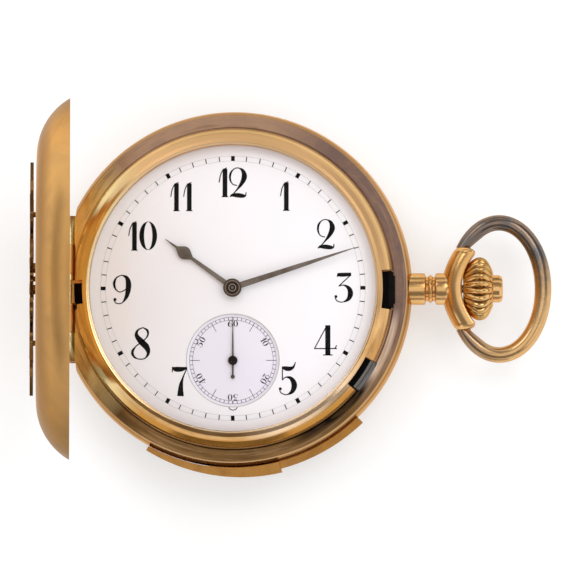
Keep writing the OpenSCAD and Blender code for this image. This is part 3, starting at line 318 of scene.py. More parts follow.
def rim_tarnish_and_light(m, c, cloud):
    """Brown bloom on the rim between its two ridges, golden beside the lid, a painted highlight along the
    outer ridge, and painted black shade inside the slots.
    """
    x, y, z = m.xyz()
    r = m.radius()
    mottle = m.noise(420.0, 5.0, 0.65, dist=1.2)
    drawn = streaks(m, 2.6, 900.0)
    hairs = streaks(m, 3.0, 2600.0)
    top = m.fade(z, 9.8, 10.2)
    inside = m.times(m.fade(r, 24.3, 24.7), m.fade(r, 27.0, 26.6), top)
    # each tone covers a wedge of the rim, and the span of the streaks says how evenly
    c = m.over(c, AMBER, inside, m.span(drawn, 0.3, 0.6, 0.7, 1.0))
    c = m.over(c, UMBER, inside, m.wedge(-95.0, 50.0, 30.0), m.span(drawn, 0.3, 0.6, 0.6, 1.0))
    c = m.over(c, PURPLE, inside, m.wedge(54.0, 66.0, 34.0), m.span(mottle, 0.25, 0.6, 0.7, 1.0))
    c = m.over(c, ROSE, inside, m.wedge(105.0, 28.0, 22.0), m.span(drawn, 0.3, 0.6, 0.5, 0.8))
    c = m.over(c, LEMON, inside, m.wedge(180.0, 34.0, 14.0), m.span(drawn, 0.35, 0.6, 0.7, 1.0))
    # a pale stretch below three o'clock, and the black one after it
    middle = m.span(band(m, r, 25.2, 0.9), 0.0, 0.7)
    pale = m.times(inside, m.wedge(-24.0, 8.0, 9.0), middle, m.span(drawn, 0.35, 0.55, 0.5, 1.0))
    c = m.over(c, PEACH, pale, 0.8)
    c = m.over(c, SAND, inside, m.wedge(-45.0, 70.0, 30.0), m.span(hairs, 0.52, 0.62, 0.0, 0.3))
    middle = m.span(band(m, r, 25.15, 0.85), 0.0, 0.6)
    c = m.over(c, SOOT, inside, m.wedge(-50.0, 11.0, 9.0), middle, m.span(drawn, 0.3, 0.5, 0.7, 1.0))
    c = m.over(c, COCOA, inside, m.span(drawn, 0.54, 0.7, 0.0, 0.5))
    # the outer ridge with a painted highlight along it, fainter towards the top, and the dark joint with the
    # bezel
    c = m.over(c, HAZEL, m.fade(r, 26.6, 27.1), top, m.span(drawn, 0.3, 0.6, 0.6, 0.95))
    dimmed = m.span(m.wedge(95.0, 50.0, 30.0), 0.0, 1.0, 0.6, 0.12)
    c = m.over(c, RIDGE_HIGHLIGHT, band(m, r, 26.75, 0.17), dimmed)
    c = m.over(c, JOINT, band(m, r, 24.72, 0.22), 0.7)
    # painted black shade inside the openings, with the lever's steel on the outer half of one
    return m.mix(in_slots(m), c, slot_shade_and_lever(m, r))


def bezel_wear_and_light(m, c, cloud):
    """Painted highlights on the lip beside the glass and along the outer edge of the upper half, the inner
    slope painted lighter on the upper half and at the lower right, amber streaks along the outer joint, and
    painted black shade inside the slots.
    """
    x, y, z = m.xyz()
    r = m.radius()
    drawn = streaks(m, 2.2, 700.0)
    c = m.over(c, BRONZE, m.span(drawn, 0.48, 0.66, 0.0, 0.6))
    # painted light: the inner slope lighter on the upper half and at the lower right, and a painted highlight
    # along the outer edge of the upper half
    upper = m.wedge(68.0, 66.0, 26.0)
    slope = m.fade(r, 23.9, 23.6)
    c = m.over(c, STRAW_LIGHT, slope, upper)
    c = m.over(c, BLUSH_LIGHT, slope, m.wedge(303.0, 16.0, 14.0))
    c = m.over(c, BUTTER_HIGHLIGHT, band(m, r, 24.12, 0.45), upper)
    lower = m.wedge(240.0, 75.0, 25.0)
    c = m.over(c, HONEY, m.fade(r, 23.3, 23.6), lower, m.span(drawn, 0.3, 0.5, 0.6, 0.9))
    c = m.over(c, CREAM, m.wedge(180.0, 36.0, 18.0), m.span(drawn, 0.3, 0.55, 0.5, 0.9))
    # a painted highlight on the lip beside the glass
    lip = band(m, r, 22.16, 0.2)
    m.matte = m.larger(lip, m.times(upper, 0.7))
    c = m.over(c, IVORY_HIGHLIGHT, lip, 0.85)
    c = m.over(c, RUST, band(m, r, 24.62, 0.16), 0.6)
    # painted black shade in the openings below the bezel's step, and in the lever's opening
    below = m.fade(z, BEZEL_STEP_Z, BEZEL_STEP_Z - SLOT_EDGE)
    lever_slot = m.times(m.wedge(326.25, 6.0, SLOT_SIDE), m.fade(r, 23.5, 23.6))
    hole = m.times(in_slots(m), m.larger(below, lever_slot))
    return m.mix(hole, c, slot_shade_and_lever(m, r))


def lid_wear(m, c, cloud):
    """Browner towards the edge, with cloudy borders, on the upright front lid and the flat back lid."""
    x, y, z = m.xyz()
    above = m.fade(z, LIDS_PART_Z, LIDS_PART_Z + LIDS_FADE)
    below = m.fade(z, LIDS_PART_Z, LIDS_PART_Z - LIDS_FADE)
    upright = m.times(m.hypot(y, m.minus(z, LID_MIDDLE_Z * MM)), above)
    flat = m.times(m.radius(), below)
    r = m.larger(upright, flat)
    outer = m.fade(ragged(m, r, cloud, 4.0), 20.5, 27.5)
    c = m.over(c, TAN, outer, m.span(cloud, 0.3, 0.6, 0.6, 1.0), 0.6)
    inner = m.fade(ragged(m, r, cloud, 3.0), 27.2, 25.0)
    edge = m.fade(r, 19.5, 22.8)
    c = m.over(c, FAWN, inner, edge, 0.6)
    # darker and more olive towards the -y end of both lids
    c = m.over(c, OLIVE, m.fade(y, -4.0, -22.0, 0.0, 0.7))
    far = ragged(m, m.math("ABSOLUTE", y), cloud, 3.0)
    c = m.over(c, TAUPE, m.fade(far, 21.5, 27.5, 0.0, 0.85))
    plane = m.plus(m.times(z, LID_LEAN), (LID_FOOT_X - LID_FOOT_Z * LID_LEAN) * MM)
    deep = ragged(m, m.minus(plane, x), cloud, 1.0)
    return m.over(c, DUN, edge, m.fade(deep, 3.1, 4.6, 0.0, 0.7))


def bow_tarnish(m, c, cloud):
    """Grey bloom on the upper half of the bow and close to the ears."""
    x, y, z = m.xyz()
    up = m.fade(ragged(m, y, cloud, 4.0), 0.5, 7.5)
    near = m.fade(x, 41.5, 36.5)
    c = m.over(c, ASH, m.larger(up, m.times(near, 0.75)), 0.9)
    return m.over(c, SLATE, up, m.span(cloud, 0.42, 0.6), 0.75)


def crown_dirt(m, c, cloud):
    """Dark dirt down in the valleys between the ribs."""
    x, y, z = m.xyz()
    dz = m.minus(z, STEM_Z * MM)
    turn = m.times(m.math("ARCTAN2", dz, y), CROWN_RIBS / 2)
    rib = m.math("ABSOLUTE", m.math("SINE", turn))
    fluted = m.fade(m.hypot(y, dz), 2.6, 3.4)
    return m.over(c, DIRT, fluted, m.span(rib, 0.55, 0.12, 0.0, 0.85))


def metal(name, tone, other, rough=(0.2, 0.38), scale=120.0, stretch=None, bump=0.05):
    """Plain worked metal that wanders between two tones."""
    m = Mat(name, tone, metallic=1.0, rough=0.3)
    n = m.noise(scale, 4.0, 0.6, stretch=stretch)
    m.color(m.mix(m.span(n, 0.35, 0.7), tone, other))
    m.rough(n, *rough)
    m.bump(m.noise(scale * 12, 2.0, 0.5, stretch=stretch), bump, 0.00002)
    return m


def turned(name, tone, other, cx, cy, steps):
    """Steel turned in rings about an upright axis: steps are (radius in mm, colour) from the outside in."""
    blur = 0.03
    m = Mat(name, tone, metallic=1.0, rough=0.32)
    x, y, z = m.xyz()
    r = m.hypot(m.minus(x, cx * MM), m.minus(y, cy * MM))
    n = m.noise(400.0, 3.0, 0.6)
    c = m.mix(m.span(n, 0.35, 0.7), tone, other)
    for radius, ring in steps:
        c = m.over(c, ring, m.fade(r, radius + blur, radius - blur))
    m.color(c)
    m.rough(n, 0.28, 0.45)
    return m


BROWN = lin(150, 112, 76)
gold_case = gold("gold_case", lin(228, 188, 140), lin(214, 166, 108), BROWN, 0.5, extra=rim_tarnish_and_light)
gold_lid = gold("gold_lid", lin(250, 194, 114), lin(236, 174, 92), lin(196, 148, 96), 0.4, (0.27, 0.38), 38.0,
                extra=lid_wear)
gold_bright = gold("gold_bright", lin(242, 200, 144), lin(228, 178, 112), BROWN, 0.22, (0.15, 0.28))
gold_bezel = gold("gold_bezel", lin(232, 188, 130), lin(212, 160, 96), lin(150, 108, 76), 0.35, (0.1, 0.22),
                  extra=bezel_wear_and_light)
gold_bow = gold("gold_bow", lin(238, 200, 148), lin(216, 172, 116), lin(134, 110, 94), 0.35,
                extra=bow_tarnish)
gold_slide = gold("gold_slide", lin(186, 136, 74), lin(168, 118, 58), lin(112, 78, 48), 0.45, (0.2, 0.34))
gold_relief = gold("gold_relief", lin(166, 126, 74), lin(132, 94, 48), lin(78, 54, 32), 0.6, (0.14, 0.3),
                   220.0)
gold_crown = gold("gold_crown", lin(238, 198, 138), lin(220, 172, 104), BROWN, 0.25, (0.14, 0.26),
                  extra=crown_dirt)

steel = metal("steel", lin(186, 188, 192), lin(150, 150, 152))
hand_steel = metal("hand_steel", lin(132, 121, 111), lin(102, 91, 82), (0.28, 0.45), 300.0)
# the lid catch and the lift spring sit in the openings; their near black is painted shade
catch_steel_in_shade = metal("catch_steel_in_shade", lin(30, 27, 26), lin(14, 12, 12), (0.35, 0.55), 300.0)
lever_steel = metal("lever_steel", lin(134, 134, 136), lin(104, 104, 106), (0.25, 0.4), 300.0)
minute_rings = ((1.41, lin(84, 70, 60)), (1.12, lin(150, 134, 118)), (1.02, lin(62, 50, 44)),
                (0.72, lin(30, 25, 23)))
minute_steel = turned("minute_hand_steel", lin(128, 116, 106), lin(98, 87, 78), 0, 0, minute_rings)
cannon_rings = ((0.6, lin(190, 176, 160)), (0.5, lin(50, 42, 38)), (0.22, lin(120, 106, 94)))
cannon_steel = turned("cannon_steel", lin(40, 33, 30), lin(26, 22, 20), 0, 0, cannon_rings)
seconds_rings = ((0.74, lin(44, 38, 36)),)
seconds_steel = turned("seconds_hand_steel", lin(110, 102, 96), lin(84, 76, 70), 0, SECONDS_Y, seconds_rings)
blued = metal("blued_steel", lin(44, 58, 128), lin(24, 34, 84), (0.18, 0.3))
nickel = metal("nickel", lin(214, 210, 198), lin(190, 184, 170), (0.24, 0.4), 90.0, (1.0, 6.0, 1.0), 0.12)
BRASS_TONES = (lin(214, 182, 110), lin(190, 152, 82))
brass = metal("brass_wheel", *BRASS_TONES, (0.18, 0.32), 200.0)

enamel = Mat("enamel", lin(250, 247, 252), rough=0.12, Coat_Weight=0.35, Coat_Roughness=0.04)
enamel.mottled(25.0, lin(251, 249, 252), lin(247, 244, 250), 3.0)
enamel.bump(enamel.noise(320.0, 3.0, 0.5), 0.02, 0.00002)
sunk = Mat("enamel_sunk", lin(240, 235, 247), rough=0.14, Coat_Weight=0.3, Coat_Roughness=0.05)
sunk.mottled(40.0, lin(243, 239, 250), lin(236, 231, 245), 3.0)
ink = Mat("black_enamel", lin(10, 10, 11), rough=0.5, Specular_IOR_Level=0.12)
ink.mottled(500.0, lin(8, 8, 9), lin(18, 17, 19))
fine_ink = Mat("fine_ink", lin(96, 96, 92), rough=0.4)
fine_ink.mottled(400.0, lin(150, 150, 148), lin(176, 176, 172))
rim_grey = Mat("rim_grey", lin(176, 180, 160), rough=0.3)
rim_grey.mottled(300.0, lin(170, 174, 152), lin(194, 196, 180))
ruby = Mat("ruby", lin(170, 16, 48), rough=0.08, Coat_Weight=0.5, IOR=1.76)
ruby.mottled(900.0, lin(176, 18, 50), lin(130, 8, 34))

# the fourth wheel is brass, and its long pivot above 10 mm is dark steel
fourth_brass = Mat("fourth_brass", lin(204, 170, 98), metallic=1.0, rough=0.25)
n = fourth_brass.noise(200.0, 4.0, 0.6)
pivot = fourth_brass.fade(fourth_brass.xyz()[2], 10.0, 10.1)
fourth_brass.color(fourth_brass.mix(pivot, fourth_brass.mix(n, *BRASS_TONES), lin(40, 34, 32)))

glass = Mat("crystal_glass", (1, 1, 1, 1), rough=0.0, IOR=1.2, Transmission_Weight=1.0, Alpha=0.03)

MATERIALS = (
    (gold_slide, ("slide_rail", "repeater_slide")),
    (gold_case, ("case_middle", "front_hinge_pin", "back_hinge_pin", "cuvette_hinge_pin")),
    (gold_bright, ("pendant", "crown", "crown_button", "cuvette")),
    (gold_bezel, ("bezel",)),
    (gold_relief, ("lid_ornament",)),
    (gold_lid, ("front_lid", "back_lid")),
    (gold_bow, ("bow",)),
    (steel, ("winding_stem", "winding_pinion", "crown_wheel", "ratchet_wheel", "click", "escape_wheel",
             "regulator", "gong_block", "hour_hammer", "minute_hammer", "pallet_fork")),
    (catch_steel_in_shade, ("lid_catch", "lift_spring")),
    (lever_steel, ("setting_lever",)),
    (cannon_steel, ("cannon_pinion",)),
    (enamel, ("dial",)),
    (sunk, ("seconds_dial",)),
    (hand_steel, ("hour_hand",)),
    (minute_steel, ("minute_hand",)),
    (seconds_steel, ("seconds_hand",)),
    (nickel, ("main_plate", "barrel_bridge", "train_bridge", "balance_cock", "pallet_bridge")),
    (brass, ("mainspring_barrel", "centre_wheel", "third_wheel", "minute_wheel", "hour_wheel",
             "repeater_barrel", "governor", "balance_wheel")),
    (blued, ("hairspring", "bridge_screws", "gong_outer", "gong_inner")),
    (fourth_brass, ("fourth_wheel",)),
    (ruby, ("jewels",)),
    (glass, ("crystal",)),
)


def dress():
    """Give every node of the frame its material and smooth shading."""
    for m, names in MATERIALS:
        for name in names:
            slots = nodes[name].data.materials
            slots.clear()
            slots.append(m.data)
    for o in nodes.values():
        smooth(o)


def smooth(o, angle=28.0):
    """Smooth shading with edges sharper than the angle kept."""
    me = o.data
    me.polygons.foreach_set("use_smooth", [True] * len(me.polygons))
    me.set_sharp_from_angle(angle=math.radians(angle))


def add(name, verts, faces, mat, body=None):
    """A mesh object in the scene, on a body of the frame if one is named."""
    me = bpy.data.meshes.new(name)
    me.from_pydata([tuple(v) for v in verts], [], faces)
    me.update()
    me.materials.append(mat.data)
    o = bpy.data.objects.new(name, me)
    bpy.context.scene.collection.objects.link(o)
    if body:
        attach(o, body)
    return o


# Stage: lengths in metres
FLOOR_HALF = 1.5
FLOOR_Z = -0.0001
FLOOR_GLOW = 0.39
WORLD_LIGHT = 0.92
# Lamps: name, place, size and watts
LAMPS = (("key", (-0.35, 0.45, 0.75), 0.4, 1.1),
         ("fill", (0.55, -0.25, 0.6), 0.4, 0.42),
         ("top", (0.3, 0.3, 0.75), 0.35, 1.0))
# Dark cards: name, centre, the point that they face, width and height
CARDS = (("card_top_left", (-0.67, 0, 0.8), (-0.67, 0, 0), 0.9, 2.2),
         ("card_top_right", (0.75, 0, 0.8), (0.75, 0, 0), 0.9, 2.2),
         ("card_top_far", (0.04, 0.66, 0.8), (0.04, 0.66, 0), 0.52, 0.9),
         ("card_top_near", (0.04, -0.74, 0.8), (0.04, -0.74, 0), 0.52, 0.9),
         ("card_right", (0.5, 0.35, 0.3), (0, 0, 0.01), 0.5, 0.3),
         ("card_left", (-0.55, 0, 0.1), (-0.03, 0, 0.02), 0.7, 0.2),
         ("card_far", (-0.05, 0.6, 0.1), (-0.03, 0, 0.02), 0.5, 0.22),
         ("card_near", (-0.05, -0.6, 0.1), (-0.03, 0, 0.02), 0.5, 0.22))
CORNERS = ((-1, -1), (1, -1), (1, 1), (-1, 1))
# Camera: distance, tilt in degrees, metres to a pixel, and pixels of the photo's middle and dial centre
CAMERA_DISTANCE = 0.6
CAMERA_TILT = 3.3
PIXEL = 0.0001536
PHOTO_MIDDLE = 288
PHOTO_DIAL = 232.8


def set_floor():
    """Pale floor that shows as white to the camera and keeps the shadow."""
    m = Mat("floor_pale", (0.64, 0.64, 0.64, 1), rough=0.9, Specular_IOR_Level=0.1)
    m.mottled(6.0, (0.65, 0.65, 0.65, 1), (0.63, 0.63, 0.635, 1))
    rays = m.node("ShaderNodeLightPath").outputs
    shown = m.larger(m.larger(rays["Is Camera Ray"], rays["Is Glossy Ray"]), rays["Is Transmission Ray"])
    m.shader.inputs["Emission Color"].default_value = (1, 1, 1, 1)
    m.link(m.times(shown, FLOOR_GLOW), m.shader.inputs["Emission Strength"])
    floor = add("floor", [(a * FLOOR_HALF, b * FLOOR_HALF, FLOOR_Z) for a, b in CORNERS], [(0, 1, 2, 3)], m)


def set_world():
    """White to camera, glossy and transmission rays, a little darker as a light."""
    world = bpy.data.worlds.new("studio")
    bpy.context.scene.world = world
    world.use_nodes = True
    tree = world.node_tree
    background = tree.nodes["Background"]
    rays = tree.nodes.new("ShaderNodeLightPath").outputs
    seen = rays["Is Camera Ray"]
    for ray in ("Is Glossy Ray", "Is Transmission Ray"):
        larger = tree.nodes.new("ShaderNodeMath")
        larger.operation = "MAXIMUM"
        tree.links.new(seen, larger.inputs[0])
        tree.links.new(rays[ray], larger.inputs[1])
        seen = larger.outputs[0]
    strength = tree.nodes.new("ShaderNodeMapRange")
    strength.inputs["To Min"].default_value = WORLD_LIGHT
    strength.inputs["To Max"].default_value = 1.0
    tree.links.new(seen, strength.inputs["Value"])
    tree.links.new(strength.outputs["Result"], background.inputs["Strength"])
    background.inputs["Color"].default_value = (1, 1, 1, 1)


def facing(place, target):
    """Rotation that looks from one point to another."""
    return (Vector(target) - Vector(place)).to_track_quat("-Z", "Y")


def set_lamps():
    """Soft square lamps that face the frame's origin."""
    for name, place, size, power in LAMPS:
        light = bpy.data.lights.new(name, "AREA")
        light.shape = "RECTANGLE"
        light.size = light.size_y = size
        light.energy = power
        o = bpy.data.objects.new(name, light)
        bpy.context.scene.collection.objects.link(o)
        o.location = place
        o.rotation_euler = facing(place, (0, 0, 0)).to_euler()


def set_cards():
    """Dark cards that only reflections see: round the gap above the camera, and on the four sides."""
    m = Mat("card_dark", (0.34, 0.32, 0.31, 1), rough=0.9, Specular_IOR_Level=0.1)
    m.mottled(8.0, (0.31, 0.29, 0.28, 1), (0.37, 0.35, 0.34, 1))
    for name, place, target, wide, high in CARDS:
        turn = facing(place, target)
        corners = [Vector(place) + turn @ Vector((a * wide / 2, b * high / 2, 0)) for a, b in CORNERS]
        card = add(name, corners, [(0, 1, 2, 3)], m)
        card.visible_camera = False
        card.visible_diffuse = False
        card.visible_shadow = False
        card.visible_transmission = False


def set_camera():
    """Looks down on the dial with the photo's tilt, scale and frame."""
    data = bpy.data.cameras.new("camera")
    data.sensor_fit = "HORIZONTAL"
    data.clip_start = 0.01
    data.angle = 2 * math.atan(PHOTO_MIDDLE * PIXEL / CAMERA_DISTANCE)
    o = bpy.data.objects.new("camera", data)
    bpy.context.scene.collection.objects.link(o)
    bpy.context.scene.camera = o
    lean = math.tan(math.radians(CAMERA_TILT))
    dial = Vector((0, 0, DIAL_Z * MM))
    o.location = dial + Vector((lean, -lean, 1.0)).normalized() * CAMERA_DISTANCE
    target = dial + Vector(((PHOTO_MIDDLE - PHOTO_DIAL) * PIXEL, 0, 0))
    ahead = (target - o.location).normalized()
    right = ahead.cross(Vector((0, 1, 0))).normalized()
    up = right.cross(ahead)
    o.rotation_euler = Matrix((right, up, -ahead)).transposed().to_euler()


def stage():
    """Everything round the watch."""
    bpy.context.scene.view_settings.view_transform = "Standard"
    set_floor()
    set_world()
    set_lamps()
    set_cards()
    set_camera()


# Turned and swept pieces
def spline(knots, steps=9):
    """Smooth curve through knots, which are tuples of one length."""
    out = []
    last = len(knots) - 1
    for i in range(last):
        four = (knots[max(i - 1, 0)], knots[i], knots[i + 1], knots[min(i + 2, last)])
        for k in range(steps):
            t = k / steps
            out.append(tuple(0.5 * (2 * b + (c - a) * t + (2 * a - 5 * b + 4 * c - d) * t * t
                                    + (3 * b - a - 3 * c + d) * t ** 3) for a, b, c, d in zip(*four)))
    out.append(knots[-1])
    return out


def skin(first, rows, count, closed=False, flip=False):
    """Four-cornered faces that join rows of count corners round a body, from vertex number first on."""
    faces = []
    for i in range(rows if closed else rows - 1):
        low, high = first + i * count, first + (i + 1) % rows * count
        for k in range(count):
            j = (k + 1) % count
            if flip:
                faces.append((low + k, high + k, high + j, low + j))
            else:
                faces.append((low + k, low + j, high + j, high + k))
    return faces


def cap(first, count, flip=False):
    """One face over the end of a body, from vertex number first on."""
    face = tuple(range(first, first + count))
    return face[::-1] if flip else face


# The crown: place of its back face along the stem's axis, length, radius and corners round it
CROWN_X = 35.35
CROWN_LONG = 4.6
CROWN_RADIUS = 4.89
CROWN_SIDES = 288


def crown():
    """Fluted crown with round ribs and sharp valleys, in place of the plain ribs of the CAD."""
    # distance from the crown's back face, radius, and depth of the valleys
    knots = [(0.0, 2.75, 0.05), (0.14, 3.1, 0.12), (0.5, 3.6, 0.3), (1.3, 4.35, 0.5), (2.0, 4.78, 0.62),
             (2.62, 4.88, 0.64), (3.3, 4.68, 0.6), (3.9, 4.06, 0.5), (4.3, 3.3, 0.3), (4.5, 2.85, 0.1),
             (4.58, 2.6, 0.0)]
    back = [(0.0, 0.95, 0.0)]
    bore = [(CROWN_LONG, 2.45, 0.0), (4.58, 2.2, 0.0), (3.9, 2.17, 0.0)]
    rows = back + spline(knots, 5) + bore
    verts = []
    for x, r, deep in rows:
        x = CROWN_X + min(max(x, 0.0), CROWN_LONG)
        for k in range(CROWN_SIDES):
            a = 2 * math.pi * (k + 0.5) / CROWN_SIDES
            valley = 1 - abs(math.sin(a * CROWN_RIBS / 2))
            q = min(r, CROWN_RADIUS) - max(deep, 0.0) * valley
            verts.append((x * MM, q * math.cos(a) * MM, (STEM_Z + q * math.sin(a)) * MM))
    o = add("crown_fluted", verts, skin(0, len(rows), CROWN_SIDES), gold_crown, "winding")
    smooth(o, 50.0)
    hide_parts("crown")


# The neck's profile: place along the stem's axis and radius, with the bead between two grooves
NECK = ((25.2, 2.42), (27.2, 2.42), (29.2, 2.44), (29.42, 2.40), (29.52, 2.24), (29.56, 1.96), (29.66, 1.86),
        (29.92, 1.86), (30.02, 1.98), (30.14, 2.1), (30.3, 2.15), (30.46, 2.1), (30.58, 1.98), (30.68, 1.86),
        (30.94, 1.86), (31.04, 1.96), (31.08, 2.24), (31.18, 2.40), (31.4, 2.44), (32.5, 2.44), (32.9, 2.38),
        (33.3, 2.2), (33.3, 0.72), (25.2, 0.72))
NECK_SIDES = 96
# The crown's back: distance from the axis and place along it, which the bowl keeps clear of by a gap
CROWN_BACK = ((0, 35.35), (2.75, 35.35), (3.6, 35.85), (4.35, 36.65), (4.8, 37.35), (5.3, 40.0))
CROWN_GAP = 0.2
# The bowl: half its width in y, half its height in z, and the least depth between back and front
BOWL_HALF = 6.33
BOWL_HIGH = 2.7
BOWL_LEAST = 0.2
BOWL_STEPS = 88
DOME_STEPS = 14
# Back and front of the bowl on the stem's axis, and how much they bend outwards with the square of y
BOWL_BACK = 32.05
BACK_BEND = 0.054
BOWL_FRONT = 35.14
FRONT_BEND = 0.071
# From this y on each end gets lower and its back comes forward, by so much over the stretch
END_Y = 5.6
END_STRETCH = 0.75
END_LOWER = 0.9
END_FORWARD = 0.25
# From this y on each ear's front is round: its foremost place, and how far it drops over the stretch
EAR_ROUND_Y = 5.45
EAR_ROUND_STRETCH = 0.88
EAR_FRONT = 37.2
EAR_DROP = 1.15
# The rounded edge beside the front: depth behind the front, and height as a share of the whole
EDGE_DEPTH = 0.28
EDGE = ((0.14, 0.985), (0.03, 0.95), (0.0, 0.88))
FRONT_SHARES = (0.7, 0.5, 0.3, 0.12, 0.0)


def crown_back(q):
    """How far the bowl may reach along the axis at a distance q from it."""
    for (a, xa), (b, xb) in zip(CROWN_BACK, CROWN_BACK[1:]):
        if q <= b:
            return xa + (xb - xa) * (q - a) / (b - a) - CROWN_GAP
    return CROWN_BACK[-1][1]


def bowl_section(y):
    """Outline of the bowl in x and z at one y: a domed back, a rounded edge and a flat front."""
    t = abs(y)
    end = max(0.0, (t - END_Y) / END_STRETCH)
    high = BOWL_HIGH - END_LOWER * end ** 2
    back = BOWL_BACK + BACK_BEND * y * y + END_FORWARD * end ** 3
    front = BOWL_FRONT + FRONT_BEND * y * y
    if t >= EAR_ROUND_Y:
        front = EAR_FRONT - EAR_DROP * ((t - EAR_ROUND_Y) / EAR_ROUND_STRETCH) ** 2
    ring = []
    # the dome: the powers of q make it blunt at the back and nearly level before the edge
    for k in range(DOME_STEPS + 1):
        q = k / DOME_STEPS
        rise = math.sin(math.pi / 2 * min(1.0, q ** 0.75 * 1.02))
        ring.append((back + (front - EDGE_DEPTH - back) * q ** 1.5, high * rise))
    ring += [(front - depth, high * share) for depth, share in EDGE]
    ring += [(front, high * share) for share in FRONT_SHARES]
    ring += [(x, -z) for x, z in ring[-2:0:-1]]
    return [(min(x, max(crown_back(math.hypot(y, z)), back + BOWL_LEAST)), y, z) for x, z in ring]


def pendant():
    """Turned neck with its bead, and the crescent bowl with the two ears, as one smooth body."""
    verts = []
    for x, r in NECK:
        for k in range(NECK_SIDES):
            a = 2 * math.pi * k / NECK_SIDES
            verts.append((x * MM, r * math.cos(a) * MM, (STEM_Z + r * math.sin(a)) * MM))
    faces = skin(0, len(NECK), NECK_SIDES, closed=True)
    first = len(verts)
    rows = [bowl_section(-BOWL_HALF + 2 * BOWL_HALF * i / BOWL_STEPS) for i in range(BOWL_STEPS + 1)]
    for row in rows:
        verts.extend((x * MM, y * MM, (STEM_Z + z) * MM) for x, y, z in row)
    count = len(rows[0])
    faces += skin(first, len(rows), count, flip=True)
    faces.append(cap(first, count))
    faces.append(cap(first + BOWL_STEPS * count, count, flip=True))
    o = add("pendant_turned", verts, faces, gold_bright, "case")
    smooth(o, 40.0)
    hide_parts("pendant")


# The bow: centre and half axes of its oval, radius of the wire, steps along it and sides round it
BOW_X = 40.904
BOW_DEEP = 6.796
BOW_HALF = 10.2
BOW_WIRE = 1.2
BOW_STEPS = 150
BOW_SIDES = 40
# Added to the wire's radius in plan at its far end, and taken off it at the ears. The swell ends and
# the narrowing starts at a share of the way from the far end to an ear.
BOW_SWELL = 0.08
SWELL_ENDS = 0.7
BOW_NARROWER = 0.28
NARROWING_STARTS = 0.84
# The two pins of the bow in the ears: place along the stem's axis, radius, and the ends of each
PIN_X = 35.65
PIN_RADIUS = 0.85
PIN_ENDS = (5.1, 6.5)
PIN_SIDES = 32


def bow_swell(share):
    """What the wire's radius in plan gains or loses at a share of the way to an ear."""
    swell = max(0.0, 1.0 - share / SWELL_ENDS)
    narrowing = max(0.0, (share - NARROWING_STARTS) / (1.0 - NARROWING_STARTS))
    return BOW_SWELL * swell - BOW_NARROWER * narrowing ** 2


def bow():
    """The oval wire in finer steps, broadest at its far end and narrowing into the ears."""
    verts = []
    end = math.pi - math.asin(EAR_Y / BOW_HALF)
    for i in range(BOW_STEPS + 1):
        t = end * (2.0 * i / BOW_STEPS - 1.0)
        w = BOW_WIRE + bow_swell(abs(t) / end)
        dx, dy = -BOW_DEEP * math.sin(t), BOW_HALF * math.cos(t)
        long = math.hypot(dx, dy)
        dx, dy = dx / long, dy / long
        # the wire keeps its outer edge where it is thicker or thinner
        cx = BOW_X + BOW_DEEP * math.cos(t) + dy * (BOW_WIRE - w)
        cy = BOW_HALF * math.sin(t) - dx * (BOW_WIRE - w)
        for k in range(BOW_SIDES):
            q = 2 * math.pi * k / BOW_SIDES
            x, y = cx + dy * w * math.cos(q), cy - dx * w * math.cos(q)
            if i in (0, BOW_STEPS):
                slide = (math.copysign(EAR_Y, t) - y) / dy
                x, y = x + dx * slide, y + dy * slide
            verts.append((x * MM, y * MM, (STEM_Z + BOW_WIRE * math.sin(q)) * MM))
    faces = skin(0, BOW_STEPS + 1, BOW_SIDES)
    faces.append(cap(0, BOW_SIDES, flip=True))
    faces.append(cap(BOW_STEPS * BOW_SIDES, BOW_SIDES))
    for sign in (-1, 1):
        first = len(verts)
        for y in PIN_ENDS:
            for k in range(PIN_SIDES):
                q = sign * 2 * math.pi * k / PIN_SIDES
                x, z = PIN_X + PIN_RADIUS * math.cos(q), STEM_Z + PIN_RADIUS * math.sin(q)
                verts.append((x * MM, sign * y * MM, z * MM))
        faces += skin(first, 2, PIN_SIDES, flip=True)
        faces.append(cap(first, PIN_SIDES))
        faces.append(cap(first + PIN_SIDES, PIN_SIDES, flip=True))
    o = add("bow_oval", verts, faces, gold_bow, "bow")
    smooth(o, 40.0)
    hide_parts("bow")


# Dial: numerals and tracks. Ink lies this much above the enamel, and no stroke is thinner than the least.
LIFT = 0.03
LEAST_STROKE = 0.034


